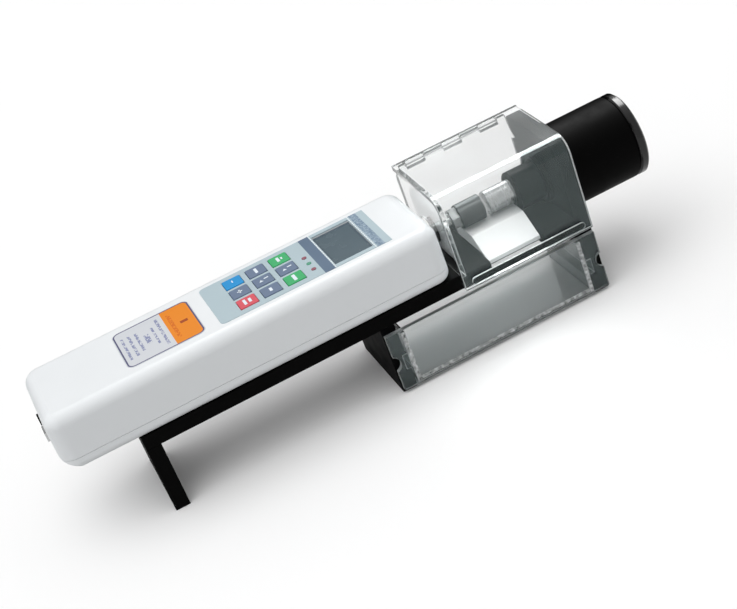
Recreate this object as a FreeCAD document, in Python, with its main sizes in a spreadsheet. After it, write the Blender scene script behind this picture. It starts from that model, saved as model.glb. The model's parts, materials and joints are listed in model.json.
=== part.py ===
import FreeCAD, Part
import math
import os
import re
import Sketcher
from FreeCAD import Placement, Rotation, Vector

# Tablet hardness tester. A digital force gauge lies on a black bracket. A hand knob feeds a
# steel pusher against the tablet, which rests between it and the jaw on the gauge's force rod.
# A clear lid covers the chamber, and the pieces of the broken tablet fall into a clear drawer.
#
# All lengths are millimetres. Pieces are laid out on a bench grid whose zero is the gauge's rear
# end, the bracket's front face and the floor, with +X towards the knob, +Y to the back and +Z up.
# The document's own origin is the bottom centre of the whole tester.

SIZES = {
    # Bracket of black plates
    "plate_depth": 60.0,
    "plate_thickness": 8.5,
    "plate_top": 50.0,
    "leg_back": 41.5,
    "bay_length": 115.0,
    "end_plate_height": 94.7,
    "end_corner_radius": 6.7,
    "plate_edge_radius": 0.5,
    "plate_screw_inset": 11.0,
    # Runner grooves in the two plates beside the drawer
    "groove_bottom": 12.5,
    "groove_height": 10.0,
    "groove_depth": 3.0,
    "groove_length": 54.0,
    # Opening in the plate's front edge, through which broken pieces drop
    "drop_depth": 11.0,
    "drop_side_gap": 0.6,
    # Screws
    "fine_gap": 0.05,
    "press_gap": 0.01,
    "screw_radius": 2.0,
    "screw_head_radius": 3.6,
    "screw_head_height": 3.2,
    "screw_length": 16.0,
    "hex_socket_radius": 1.5,
    "hex_socket_depth": 1.8,
    "small_screw_radius": 1.25,
    "small_head_radius": 2.4,
    "small_head_height": 1.6,
    "rest_thread": 5.5,
    "cap_thread": 7.0,
    # Force gauge housing
    "gauge_length": 230.0,
    "gauge_width": 66.0,
    "gauge_height": 34.0,
    "gauge_overhang": 1.0,
    "seam_height": 7.0,
    "seam_gap": 0.25,
    "shell_wall": 2.5,
    "gauge_plan_radius": 9.0,
    "gauge_top_radius": 7.0,
    "gauge_bottom_radius": 4.5,
    "gauge_tail_radius": 10.0,
    "axis_height": 15.3,
    # Keypad panel, keys, display and label on top of the gauge
    "panel_inset": 23.0,
    "panel_key_margin": 18.3,
    "panel_thickness": 0.6,
    "panel_recess": 0.4,
    "panel_radius": 3.0,
    "key_pitch_x": 14.1,
    "key_pitch_y": 13.5,
    "key_size": 10.7,
    "key_gap": 0.25,
    "key_proud": 0.5,
    "key_travel": 0.4,
    "key_edge_radius": 0.35,
    "key_corner_radius": 0.9,
    "dome_height": 1.8,
    "dome_radius": 3.0,
    "lcd_margin": 10.0,
    "lcd_length": 23.0,
    "lcd_width": 40.5,
    "lcd_side_margin": 3.25,
    "lcd_sink": 1.2,
    "lcd_window_thickness": 1.2,
    "lcd_rim": 2.0,
    "key_led_gap": 11.3,
    "led_lcd_gap": 10.7,
    "led_pitch": 8.0,
    "led_offset": 6.0,
    "led_radius": 1.4,
    "led_proud": 0.3,
    "label_gap": 8.0,
    "label_length": 45.5,
    "label_width": 43.0,
    "label_thickness": 0.4,
    "label_recess": 0.3,
    "label_radius": 4.5,
    # Inside the gauge
    "board_rear_reach": 5.5,
    "board_front_reach": 5.0,
    "board_width": 52.0,
    "board_thickness": 1.6,
    "board_drop": 6.9,
    "standoff_radius": 3.0,
    "standoff_inset": 4.5,
    "battery_start": 16.0,
    "battery_length": 44.0,
    "battery_radius": 7.2,
    "cell_inset": 40.0,
    "cell_length": 56.0,
    "cell_width": 20.0,
    "cell_height": 14.0,
    "cell_slot": 2.0,
    "cell_slot_inset": 12.0,
    "cell_slot_depth": 3.5,
    "cell_bolt_side": 5.0,
    "cell_bolt_depth": 6.0,
    "bracket_wall": 8.0,
    "bracket_foot": 3.0,
    "bracket_foot_length": 30.0,
    "rod_radius": 3.0,
    "rod_bush_radius": 6.5,
    "rod_bush_flange": 1.2,
    "rod_gap": 0.4,
    "boss_radius": 3.6,
    "shell_screw_inset": 11.0,
    "gauge_screw_x": 68.0,
    "gauge_screw_side": 18.0,
    "insert_radius": 3.2,
    "insert_height": 6.0,
    "insert_boss_wall": 1.3,
    "socket_side": 8.5,
    "socket_proud": 1.6,
    "socket_length": 11.0,
    "charger_radius": 3.4,
    "charger_hole_radius": 2.2,
    "data_width": 9.0,
    "data_height": 5.4,
    "data_wall": 0.8,
    # Jaws and tablet rest
    "jaw_radius": 6.75,
    "jaw_reach": 21.4,
    "jaw_length": 14.9,
    "jaw_bore_depth": 8.0,
    "jaw_gap": 2.6,
    "jaw_edge_radius": 0.6,
    "nut_radius": 5.8,
    "nut_length": 4.5,
    "rest_lead": 0.6,
    "rest_length": 32.4,
    "rest_front": 19.5,
    "rest_back": 44.0,
    "rest_gap": 0.6,
    "ramp_foot_y": 5.0,
    "ramp_foot_drop": 2.3,
    "ramp_lip": 2.2,
    "rest_edge_radius": 0.8,
    # Feed: sleeve, pusher, screw and knob
    "pusher_radius": 6.5,
    "pusher_length": 40.0,
    "pusher_nose": 5.0,
    "sleeve_radius": 12.0,
    "sleeve_reach": 18.5,
    "shoulder_radius": 14.5,
    "shoulder_length": 3.0,
    "sleeve_tail": 28.0,
    "ring_nut_radius": 16.0,
    "ring_nut_length": 4.5,
    "running_gap": 0.06,
    "bush_radius": 7.5,
    "bush_length": 6.0,
    "key_way_width": 3.0,
    "key_way_depth": 1.6,
    "key_way_gap": 0.1,
    "key_way_margin": 1.0,
    "feed_radius": 4.0,
    "feed_tip": 21.5,
    "feed_tip_taper": 1.0,
    "feed_thread_gap": 0.1,
    "collar_length": 3.6,
    "collar_gap": 0.2,
    "knob_radius": 24.5,
    "knob_length": 42.6,
    "knob_gap": 0.5,
    "knob_cavity_radius": 18.0,
    "knob_hub_radius": 9.0,
    "knob_wall": 7.0,
    "knob_pin_radius": 1.5,
    "knob_edge_radius": 1.0,
    "cap_groove": 1.1,
    "cap_groove_depth": 1.3,
    "cap_length": 5.3,
    "cap_recess_radius": 14.0,
    "cap_recess_depth": 1.0,
    # Chamber walls, lid and its hinge
    "wall_thickness": 3.0,
    "wall_seat": 1.5,
    "rod_slot_width": 17.0,
    "rod_slot_rise": 24.5,
    "lid_gap": 3.0,
    "chamber_length": 71.5,
    "lid_thickness": 3.0,
    "lid_front_gap": 0.5,
    "lid_top_gap": 0.3,
    "lid_skirt": 9.0,
    "lid_bend_radius": 10.0,
    "lid_edge_radius": 0.4,
    "strip_side_inset": 4.5,
    "strip_rise": 2.1,
    "strip_height": 4.4,
    "strip_proud": 1.4,
    "barrel_radius": 2.8,
    "pin_radius": 1.25,
    "hinge_gap": 0.3,
    "hinge_drop": 2.2,
    "hinge_inset": 5.0,
    "knuckle_length": 11.4,
    "pin_overhang": 0.8,
    # Drawer
    "drawer_front_inset": 0.5,
    "drawer_front_bottom": 2.4,
    "drawer_front_height": 35.8,
    "drawer_front_thickness": 3.0,
    "drawer_front_gap": 0.4,
    "drawer_wall": 2.5,
    "drawer_side_gap": 1.1,
    "drawer_depth": 52.0,
    "drawer_height": 33.0,
    "pull_notch_radius": 4.75,
    "pull_notch_depth": 3.4,
    "pull_notch_z": 19.7,
    "runner_gap": 0.25,
    "runner_end_gap": 0.5,
    "runner_length": 46.0,
    # One overrun for every through cut
    "overrun": 1.0,
}

# Places worked out from the sizes. Each is written out in full in the expressions that use it.
PLACES = {
    "plate_bottom": "plate_top - plate_thickness",
    "leg_front": "leg_back + plate_thickness",
    "end_plate_face": "lid_left + chamber_length",
    "side_plate_right": "end_plate_face - bay_length",
    "side_plate_left": "side_plate_right - plate_thickness",
    "end_plate_out": "end_plate_face + plate_thickness",
    "groove_top": "groove_bottom + groove_height",
    "gauge_front": "0 - gauge_overhang",
    "gauge_back": "gauge_width - gauge_overhang",
    "gauge_top": "plate_top + gauge_height",
    "gauge_ceiling": "gauge_top - shell_wall",
    "gauge_floor": "plate_top + shell_wall",
    "seam": "plate_top + seam_height",
    "axis_y": "gauge_width / 2 - gauge_overhang",
    "axis_z": "plate_top + axis_height",
    "panel_end": "gauge_length - panel_inset",
    "lcd_end": "panel_end - lcd_margin",
    "lcd_start": "lcd_end - lcd_length",
    "led_x": "lcd_start - led_lcd_gap",
    "key_first_x": "led_x - key_led_gap - 2 * key_pitch_x",
    "panel_start": "key_first_x - panel_key_margin",
    "panel_base": "gauge_top - panel_recess",
    "panel_front": "axis_y - lcd_width / 2 - lcd_side_margin",
    "panel_back": "axis_y + lcd_width / 2 + lcd_side_margin",
    "panel_face": "panel_base + panel_thickness",
    "lcd_top": "gauge_top - lcd_sink",
    "lcd_base": "lcd_top - lcd_window_thickness",
    "label_end": "panel_start - label_gap",
    "label_start": "label_end - label_length",
    "label_base": "gauge_top - label_recess",
    "board_start": "panel_start - board_rear_reach",
    "board_end": "panel_end + board_front_reach",
    "board_top": "gauge_ceiling - board_drop",
    "board_base": "board_top - board_thickness",
    "dome_top": "board_top + dome_height",
    "key_base": "dome_top + key_travel + fine_gap",
    "key_top": "panel_face + key_proud",
    "cell_end": "gauge_length - cell_inset",
    "cell_start": "cell_end - cell_length",
    "foot_middle": "cell_start + bracket_foot_length / 2",
    "edge_screw_z": "plate_top - plate_thickness / 2",
    "far_screw_y": "plate_depth - plate_screw_inset",
    "jaw_start": "gauge_length + jaw_reach",
    "jaw_end": "jaw_start + jaw_length",
    "pusher_face": "jaw_end + jaw_gap",
    "pusher_end": "pusher_face + pusher_length",
    "rest_start": "jaw_start + rest_lead",
    "rest_end": "rest_start + rest_length",
    "rest_top": "axis_z - jaw_radius - rest_gap",
    "drop_left": "rest_start - drop_side_gap",
    "drop_right": "rest_end + drop_side_gap",
    "sleeve_start": "end_plate_face - sleeve_reach",
    "sleeve_end": "end_plate_out + sleeve_tail",
    "bore_radius": "pusher_radius + running_gap",
    "shoulder_start": "end_plate_face - shoulder_length",
    "hub_start": "sleeve_end + collar_gap",
    "hub_end": "knob_body_end - knob_wall",
    "bush_start": "sleeve_end - bush_length",
    "feed_start": "pusher_face + feed_tip",
    "knob_start": "end_plate_out + knob_gap",
    "knob_body_end": "knob_start + knob_length",
    "knob_end": "knob_body_end + cap_length",
    "cap_seat": "knob_end - cap_recess_depth",
    "lid_left": "gauge_length + lid_gap",
    "wall_left": "lid_left + lid_top_gap",
    "wall_right": "wall_left + wall_thickness",
    "wall_base": "plate_top - wall_seat",
    "rear_wall_front": "plate_depth - wall_thickness",
    "lid_right": "end_plate_out",
    "lid_front": "0 - lid_front_gap - lid_thickness",
    "lid_ceiling": "end_plate_height + lid_top_gap",
    "lid_top": "lid_ceiling + lid_thickness",
    "lid_bottom": "plate_top - lid_skirt",
    "hinge_y": "plate_depth + hinge_gap + barrel_radius",
    "hinge_z": "lid_top - barrel_radius - hinge_drop",
    "lid_back": "hinge_y - barrel_radius - hinge_gap",
    "hinge_start": "wall_right + hinge_inset",
    "knuckle_pitch": "knuckle_length + hinge_gap",
    "hinge_end": "hinge_start + 5 * knuckle_length + 4 * hinge_gap",
    "strip_front": "lid_front - strip_proud",
    "drawer_left": "side_plate_right + drawer_side_gap",
    "drawer_right": "end_plate_face - drawer_side_gap",
    "drawer_back": "drawer_depth - drawer_front_gap",
    "drawer_front_left": "side_plate_left + drawer_front_inset",
    "drawer_front_right": "end_plate_out - drawer_front_inset",
    "drawer_front_top": "drawer_front_bottom + drawer_front_height",
    "centre_x": "(knob_end - socket_proud) / 2",
    "centre_y": "(hinge_y + barrel_radius + strip_front) / 2",
}

# How near two places count as the same, and how much of an edge's length counts as straight
NEAR = 1e-4
STRAIGHT_SHARE = 0.99

KEY_ROWS = ("front", "middle", "back")
KEY_COLUMNS = ("left", "centre", "right")
FIXED_KNUCKLES = (0, 2, 4)
LID_KNUCKLES = (1, 3)
BATTERY_CELLS = 3

doc = FreeCAD.newDocument("TabletHardnessTester")
sheet = doc.addObject("Spreadsheet::Sheet", "Dims")
for row, (alias, amount) in enumerate(SIZES.items(), start=1):
    sheet.set(f"A{row}", alias)
    sheet.set(f"B{row}", str(amount))
    sheet.setAlias(f"B{row}", alias)
doc.recompute()

nodes = {}


def bound(text):
    """Return an expression with each size tied to its cell and each place written out."""
    def swap(match):
        word = match.group(0)
        if word in PLACES:
            return "(" + bound(PLACES[word]) + ")"
        if word in SIZES:
            return "Dims." + word
        return word
    return re.sub(r"[a-z][a-z_]*", swap, text)


def tie(item, prop, text):
    """Drive one property by an expression in sizes and places."""
    item.setExpression(prop, bound(text))


def seat(item, x="0", y="0", z="0", turn=None):
    """Place an object at a point of the bench grid, turned so that its axis lies along X or Y."""
    item.Placement = Placement(Vector(), turn or Rotation())
    tie(item, ".Placement.Base.x", f"({x}) - centre_x")
    tie(item, ".Placement.Base.y", f"({y}) - centre_y")
    tie(item, ".Placement.Base.z", z)
    return item


def keep(item, label):
    """Register an object as a named piece of the tester."""
    item.Label = label
    nodes[label] = item
    return item


TURNS = {
    "X": Rotation(Vector(0, 1, 0), 90),
    "Y": Rotation(Vector(1, 0, 0), -90),
    "Z": Rotation(),
}


def block(name, x, y, z):
    """A box between two places on each axis, each given as a pair of expressions."""
    item = doc.addObject("Part::Box", name)
    tie(item, "Length", f"({x[1]}) - ({x[0]})")
    tie(item, "Width", f"({y[1]}) - ({y[0]})")
    tie(item, "Height", f"({z[1]}) - ({z[0]})")
    return seat(item, x[0], y[0], z[0])


def rod(name, axis, radius, at, start, end):
    """A cylinder along an axis, from start to end, centred at the two other coordinates."""
    item = doc.addObject("Part::Cylinder", name)
    tie(item, "Radius", radius)
    tie(item, "Height", f"({end}) - ({start})")
    place = {"X": (start, at[0], at[1]), "Y": (at[0], start, at[1]), "Z": (at[0], at[1], start)}
    return seat(item, *place[axis], TURNS[axis])


def hexagon(name, axis, radius, at, start, end):
    """A hexagonal bar along an axis, from start to end."""
    item = doc.addObject("Part::Prism", name)
    item.Polygon = 6
    tie(item, "Circumradius", radius)
    tie(item, "Height", f"({end}) - ({start})")
    place = {"X": (start, at[0], at[1]), "Z": (at[0], at[1], start)}
    return seat(item, *place[axis], TURNS[axis])


def common(name, base, tool):
    """What two shapes share."""
    item = doc.addObject("Part::Common", name)
    item.Base = base
    item.Tool = tool
    return item


def cut(name, base, *tools):
    """The base with all tools taken away."""
    item = doc.addObject("Part::Cut", name)
    item.Base = base
    item.Tool = tools[0] if len(tools) == 1 else fuse(name + "_tools", *tools)
    return item


def fuse(name, *parts):
    """Several shapes joined."""
    item = doc.addObject("Part::MultiFuse", name)
    item.Shapes = list(parts)
    return item


def group(name, parts):
    """Identical separate solids kept together."""
    item = doc.addObject("Part::Compound", name)
    item.Links = list(parts)
    return item


def new_body(name, x="0", y="0", z="0"):
    """An empty body whose own origin stands at a point of the bench grid."""
    return seat(doc.addObject("PartDesign::Body", name), x, y, z)


def origin_feature(body, role):
    """The plane or axis of a body's origin with this role."""
    return next(f for f in body.Origin.OriginFeatures if f.Role == role)


def sketch_on(body, name, plane, offset="0"):
    """A sketch on an origin plane. The offset runs along the plane's normal (-Y for XZ)."""
    sketch = body.newObject("Sketcher::SketchObject", name)
    sketch.AttachmentSupport = (origin_feature(body, plane + "_Plane"), [""])
    sketch.MapMode = "FlatFace"
    tie(sketch, ".AttachmentOffset.Base.z", offset)
    return sketch


def pin_point(sketch, geometry, point, u, v):
    """Hold one point of a sketch at two expressions, measured from the sketch's origin."""
    for kind, text, guess in (("DistanceX", u, geometry + 1.0), ("DistanceY", v, geometry + 2.0)):
        index = sketch.addConstraint(Sketcher.Constraint(kind, -1, 1, geometry, point, guess))
        tie(sketch, f"Constraints[{index}]", text)


def outline(sketch, corners):
    """A closed outline of straight lines through corners given as pairs of expressions."""
    first = sketch.GeometryCount
    count = len(corners)
    spots = [Vector(math.cos(math.tau * i / count), math.sin(math.tau * i / count), 0)
             for i in range(count)]
    for i in range(count):
        sketch.addGeometry(Part.LineSegment(spots[i], spots[(i + 1) % count]), False)
    for i in range(count):
        following = first + (i + 1) % count
        sketch.addConstraint(Sketcher.Constraint("Coincident", first + i, 2, following, 1))
    for i, (u, v) in enumerate(corners):
        pin_point(sketch, first + i, 1, u, v)
    return sketch


def rectangle(sketch, u, v):
    """A rectangle between two places on each sketch axis."""
    return outline(sketch, [(u[0], v[0]), (u[1], v[0]), (u[1], v[1]), (u[0], v[1])])


def circle(sketch, u, v, radius):
    """A circle with its centre and radius driven by expressions."""
    index = sketch.addGeometry(Part.Circle(Vector(1, 1, 0), Vector(0, 0, 1), 1), False)
    pin_point(sketch, index, 3, u, v)
    hold = sketch.addConstraint(Sketcher.Constraint("Radius", index, 1))
    tie(sketch, f"Constraints[{hold}]", radius)
    return sketch


def pad(sketch, length, back=False):
    """Extrude a sketch into its body."""
    item = sketch.getParentGeoFeatureGroup().newObject("PartDesign::Pad", sketch.Name + "_pad")
    item.Profile = sketch
    item.Reversed = back
    tie(item, "Length", length)
    return item


def pocket(sketch, depth, back=False):
    """Cut a sketch out of its body. Unturned, a pocket runs against the sketch's normal."""
    body = sketch.getParentGeoFeatureGroup()
    item = body.newObject("PartDesign::Pocket", sketch.Name + "_cut")
    item.Profile = sketch
    item.Reversed = back
    tie(item, "Length", depth)
    return item


def revolve(sketch):
    """Turn a sketch in the XZ plane a full turn about its body's X axis."""
    body = sketch.getParentGeoFeatureGroup()
    item = body.newObject("PartDesign::Revolution", sketch.Name + "_turned")
    item.Profile = sketch
    item.ReferenceAxis = (origin_feature(body, "X_Axis"), [""])
    item.Angle = 360
    return item


def turned(name, profile, x="0"):
    """A body turned about the jaws' axis from a profile of (place along X, radius) corners."""
    body = new_body(name, x, "axis_y", "axis_z")
    revolve(outline(sketch_on(body, name + "_profile", "XZ"), profile))
    return body


def tube_profile(start, end, outer, inner):
    """The half section of a plain tube."""
    return [(start, inner), (end, inner), (end, outer), (start, outer)]


def side_of(span, low, high):
    """Say whether a span of an edge lies on the low side, the high side or inside the shape."""
    if span[0] > high - NEAR:
        return "max"
    if span[1] < low + NEAR:
        return "min"
    return "inside"


def pick_edges(feature, along=None, **wanted):
    """Names of straight edges along an axis that lie on the wanted sides of the shape."""
    box = feature.Shape.BoundBox
    found = []
    for number, edge in enumerate(feature.Shape.Edges, start=1):
        own = edge.BoundBox
        spans = {"X": (own.XMin, own.XMax), "Y": (own.YMin, own.YMax), "Z": (own.ZMin, own.ZMax)}
        wide = {"X": (box.XMin, box.XMax), "Y": (box.YMin, box.YMax), "Z": (box.ZMin, box.ZMax)}
        if along and (edge.Curve.TypeId != "Part::GeomLine" or spans[along][1] - spans[along][0]
                      < STRAIGHT_SHARE * edge.Length):
            continue
        if all(side_of(spans[axis.upper()], *wide[axis.upper()]) in choice
               for axis, choice in wanted.items()):
            found.append(f"Edge{number}")
    return found


def dress(body, name, kind, size, along=None, **wanted):
    """Round or chamfer picked edges of a body's last feature."""
    doc.recompute()
    base = body.Tip
    item = body.newObject("PartDesign::" + kind, name)
    item.Base = (base, pick_edges(base, along, **wanted))
    tie(item, "Radius" if kind == "Fillet" else "Size", size)
    body.Tip = item
    return item


def dress_rims(body, name, radius):
    """Round the widest circular edges of a turned body."""
    doc.recompute()
    base = body.Tip
    circles = {f"Edge{number}": edge.Curve.Radius
               for number, edge in enumerate(base.Shape.Edges, start=1)
               if edge.Curve.TypeId == "Part::GeomCircle"}
    item = body.newObject("PartDesign::Fillet", name)
    item.Base = (base, [edge for edge in circles if circles[edge] == max(circles.values())])
    tie(item, "Radius", radius)
    body.Tip = item


def cap_screw(name, axis, at, head_face, length, outward):
    """A socket head screw. The head's outer face lies at head_face and the shank runs inwards."""
    sign = "-" if outward > 0 else "+"
    under = f"{head_face} {sign} screw_head_height"
    tip = f"{under} {sign} {length}"
    bottom = f"{head_face} {sign} hex_socket_depth"
    low_high = (lambda a, b: (b, a)) if outward > 0 else (lambda a, b: (a, b))
    head = rod(name + "_head", axis, "screw_head_radius", at, *low_high(head_face, under))
    shank = rod(name + "_shank", axis, "screw_radius", at, *low_high(under, tip))
    socket = hexagon(name + "_socket", axis, "hex_socket_radius", at,
                     *low_high(head_face, bottom))
    return cut(name, fuse(name + "_blank", head, shank), socket)


def small_screw(name, axis, at, head_face, under_head, tip):
    """A small round-headed screw from the face of its head to its tip."""
    head = rod(name + "_head", axis, "small_head_radius", at, head_face, under_head)
    shank = rod(name + "_shank", axis, "small_screw_radius", at,
                f"({under_head}) - fine_gap", tip)
    return fuse(name, head, shank)


def drilled(body, name, plane, offset, spots, radius, depth, back=False):
    """Round holes of one radius and depth at several spots of one plane."""
    sketch = sketch_on(body, name, plane, offset)
    for u, v in spots:
        circle(sketch, u, v, radius)
    return pocket(sketch, depth, back)


# Bracket

LEG_MIDDLE = "leg_back + plate_thickness / 2"
SIDE_PLATE_MIDDLE = "side_plate_left + plate_thickness / 2"
SCREW_ROWS = ("plate_screw_inset", "far_screw_y")
TOP_SCREWS = [(x, y) for x in (LEG_MIDDLE, SIDE_PLATE_MIDDLE) for y in SCREW_ROWS]
END_SCREWS = [(y, "edge_screw_z") for y in SCREW_ROWS]
HOUSING_SCREWS = [("gauge_screw_x", f"axis_y {sign} gauge_screw_side") for sign in "-+"]
FOOT_SCREWS = [("foot_middle", f"axis_y {sign} cell_bolt_side") for sign in "-+"]
REST_SCREWS = [(x, "(rest_front + rest_back) / 2")
               for x in ("rest_start + plate_screw_inset", "rest_end - plate_screw_inset")]


def make_base_plate():
    """The long plate that carries the gauge, with its drop opening, wall seats and holes."""
    body = new_body("BasePlate")
    sketch = sketch_on(body, "plate_outline", "XY", "plate_bottom")
    outline(sketch, [
        ("leg_back", "0"), ("drop_left", "0"), ("drop_left", "drop_depth"),
        ("drop_right", "drop_depth"), ("drop_right", "0"), ("end_plate_face", "0"),
        ("end_plate_face", "plate_depth"), ("leg_back", "plate_depth")])
    pad(sketch, "plate_thickness")
    dress(body, "plate_rounding", "Fillet", "plate_edge_radius", "X", y=("min", "max"))
    dress(body, "plate_end_rounding", "Fillet", "plate_edge_radius", "Y", x=("min",), z=("max",))
    seats = sketch_on(body, "side_wall_seat", "XY", "plate_top")
    rectangle(seats, ("wall_left - fine_gap", "wall_right + fine_gap"),
              ("0 - overrun", "plate_depth + overrun"))
    pocket(seats, "wall_seat")
    seats = sketch_on(body, "rear_wall_seat", "XY", "plate_top")
    rectangle(seats, ("wall_right", "end_plate_face + overrun"),
              ("rear_wall_front - fine_gap", "plate_depth + overrun"))
    pocket(seats, "wall_seat")
    drilled(body, "top_holes", "XY", "plate_top", TOP_SCREWS,
            "screw_radius + fine_gap", "plate_thickness")
    drilled(body, "top_sinks", "XY", "plate_top", TOP_SCREWS,
            "screw_head_radius + fine_gap", "screw_head_height")
    under = HOUSING_SCREWS + FOOT_SCREWS + REST_SCREWS
    drilled(body, "under_holes", "XY", "plate_bottom", under,
            "screw_radius + fine_gap", "plate_thickness", True)
    drilled(body, "under_sinks", "XY", "plate_bottom", under,
            "screw_head_radius + fine_gap", "screw_head_height", True)
    drilled(body, "end_holes", "YZ", "end_plate_face", END_SCREWS,
            "screw_radius + fine_gap", "screw_length")
    keep(body, "base_plate")


def make_rear_leg():
    """The upright plate under the bracket's rear end."""
    body = new_body("RearLeg")
    sketch = sketch_on(body, "leg_outline", "XY")
    rectangle(sketch, ("leg_back", "leg_front"), ("0", "plate_depth"))
    pad(sketch, "plate_bottom")
    dress(body, "leg_rounding", "Fillet", "plate_edge_radius", "Z")
    drilled(body, "leg_holes", "XY", "plate_bottom", TOP_SCREWS[:2],
            "screw_radius + fine_gap", "screw_length")
    keep(body, "rear_leg")


def make_side_plate():
    """The upright plate at the left of the drawer, with the left runner's groove."""
    body = new_body("SidePlate")
    sketch = sketch_on(body, "side_outline", "XY")
    rectangle(sketch, ("side_plate_left", "side_plate_right"), ("0", "plate_depth"))
    pad(sketch, "plate_bottom")
    dress(body, "side_rounding", "Fillet", "plate_edge_radius", "Z")
    groove = sketch_on(body, "left_groove", "YZ", "side_plate_right")
    rectangle(groove, ("0 - overrun", "groove_length"), ("groove_bottom", "groove_top"))
    pocket(groove, "groove_depth")
    drilled(body, "side_holes", "XY", "plate_bottom", TOP_SCREWS[2:],
            "screw_radius + fine_gap", "screw_length")
    keep(body, "left_side_plate")


def make_end_plate():
    """The tall plate between chamber and knob, which carries the feed sleeve."""
    body = new_body("EndPlate")
    sketch = sketch_on(body, "end_outline", "YZ", "end_plate_face")
    rectangle(sketch, ("0", "plate_depth"), ("0", "end_plate_height"))
    pad(sketch, "plate_thickness")
    dress(body, "end_corners", "Fillet", "end_corner_radius", "X", y=("min", "max"), z=("max",))
    dress(body, "end_rounding", "Fillet", "plate_edge_radius", "Z", y=("min", "max"))
    groove = sketch_on(body, "right_groove", "YZ", "end_plate_face")
    rectangle(groove, ("0 - overrun", "groove_length"), ("groove_bottom", "groove_top"))
    pocket(groove, "groove_depth", True)
    drilled(body, "sleeve_bore", "YZ", "end_plate_face", [("axis_y", "axis_z")],
            "sleeve_radius + fine_gap", "plate_thickness", True)
    drilled(body, "frame_holes", "YZ", "end_plate_out", END_SCREWS,
            "screw_radius + fine_gap", "plate_thickness")
    drilled(body, "frame_sinks", "YZ", "end_plate_out", END_SCREWS,
            "screw_head_radius + fine_gap", "screw_head_height")
    keep(body, "right_end_plate")


def make_frame_screws():
    """The six screws that hold the bracket's plates together."""
    screws = [cap_screw(f"top_screw_{i}", "Z", spot, "plate_top", "screw_length", 1)
              for i, spot in enumerate(TOP_SCREWS)]
    screws += [cap_screw(f"end_screw_{i}", "X", spot, "end_plate_out", "screw_length", 1)
               for i, spot in enumerate(END_SCREWS)]
    keep(group("FrameScrews", screws), "frame_screws")


# Force gauge

SHELL_SCREWS = [(x, y) for x in ("shell_screw_inset", "gauge_length - shell_screw_inset")
                for y in ("gauge_front + shell_screw_inset", "gauge_back - shell_screw_inset")]


def housing_block(name, inset):
    """The gauge's rounded block, set in by a wall. Its tail turns up in a wider radius."""
    body = new_body(name)
    sketch = sketch_on(body, name + "_outline", "XY", f"plate_top + {inset}")
    rectangle(sketch, (inset, f"gauge_length - {inset}"),
              (f"gauge_front + {inset}", f"gauge_back - {inset}"))
    pad(sketch, f"gauge_height - 2 * {inset}")
    dress(body, name + "_plan", "Fillet", f"gauge_plan_radius - {inset}", "Z")
    dress(body, name + "_upper", "Fillet", f"gauge_top_radius - {inset}", z=("max",))
    dress(body, name + "_lower", "Fillet", f"gauge_bottom_radius - {inset}", z=("min",))
    tail = new_body(name + "Tail")
    wider = "(gauge_tail_radius - gauge_bottom_radius)"
    sketch = sketch_on(tail, name + "_tail", "XY", f"plate_top + {inset} - fine_gap")
    rectangle(sketch, (f"{inset} - fine_gap", "gauge_length + overrun"),
              (f"gauge_front - {wider} + {inset}", f"gauge_back + {wider} - {inset}"))
    pad(sketch, "gauge_height")
    dress(tail, name + "_tail_plan", "Fillet", f"gauge_plan_radius + {wider} - {inset}", "Z",
          x=("min",))
    dress(tail, name + "_tail_lower", "Fillet", f"gauge_tail_radius - {inset}", "Y",
          x=("min",), z=("min",))
    return common(name + "_block", body, tail)


def key_spots():
    """Row, column and centre of each key."""
    spots = []
    for row, row_name in enumerate(KEY_ROWS):
        for column, column_name in enumerate(KEY_COLUMNS):
            spots.append((row_name, column_name, f"key_first_x + {column} * key_pitch_x",
                          f"axis_y + ({row} - 1) * key_pitch_y"))
    return spots


def key_openings(prefix, z):
    """Square tools for the key openings between two heights."""
    half = "(key_size / 2 + key_gap)"
    return [block(f"{prefix}_{row}_{column}", (f"{x} - {half}", f"{x} + {half}"),
                  (f"{y} - {half}", f"{y} + {half}"), z)
            for row, column, x, y in key_spots()]


def led_spots():
    """Centres of the three status lights."""
    return [("led_x", f"axis_y - led_offset + ({number} - 1) * led_pitch")
            for number in range(3)]


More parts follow.
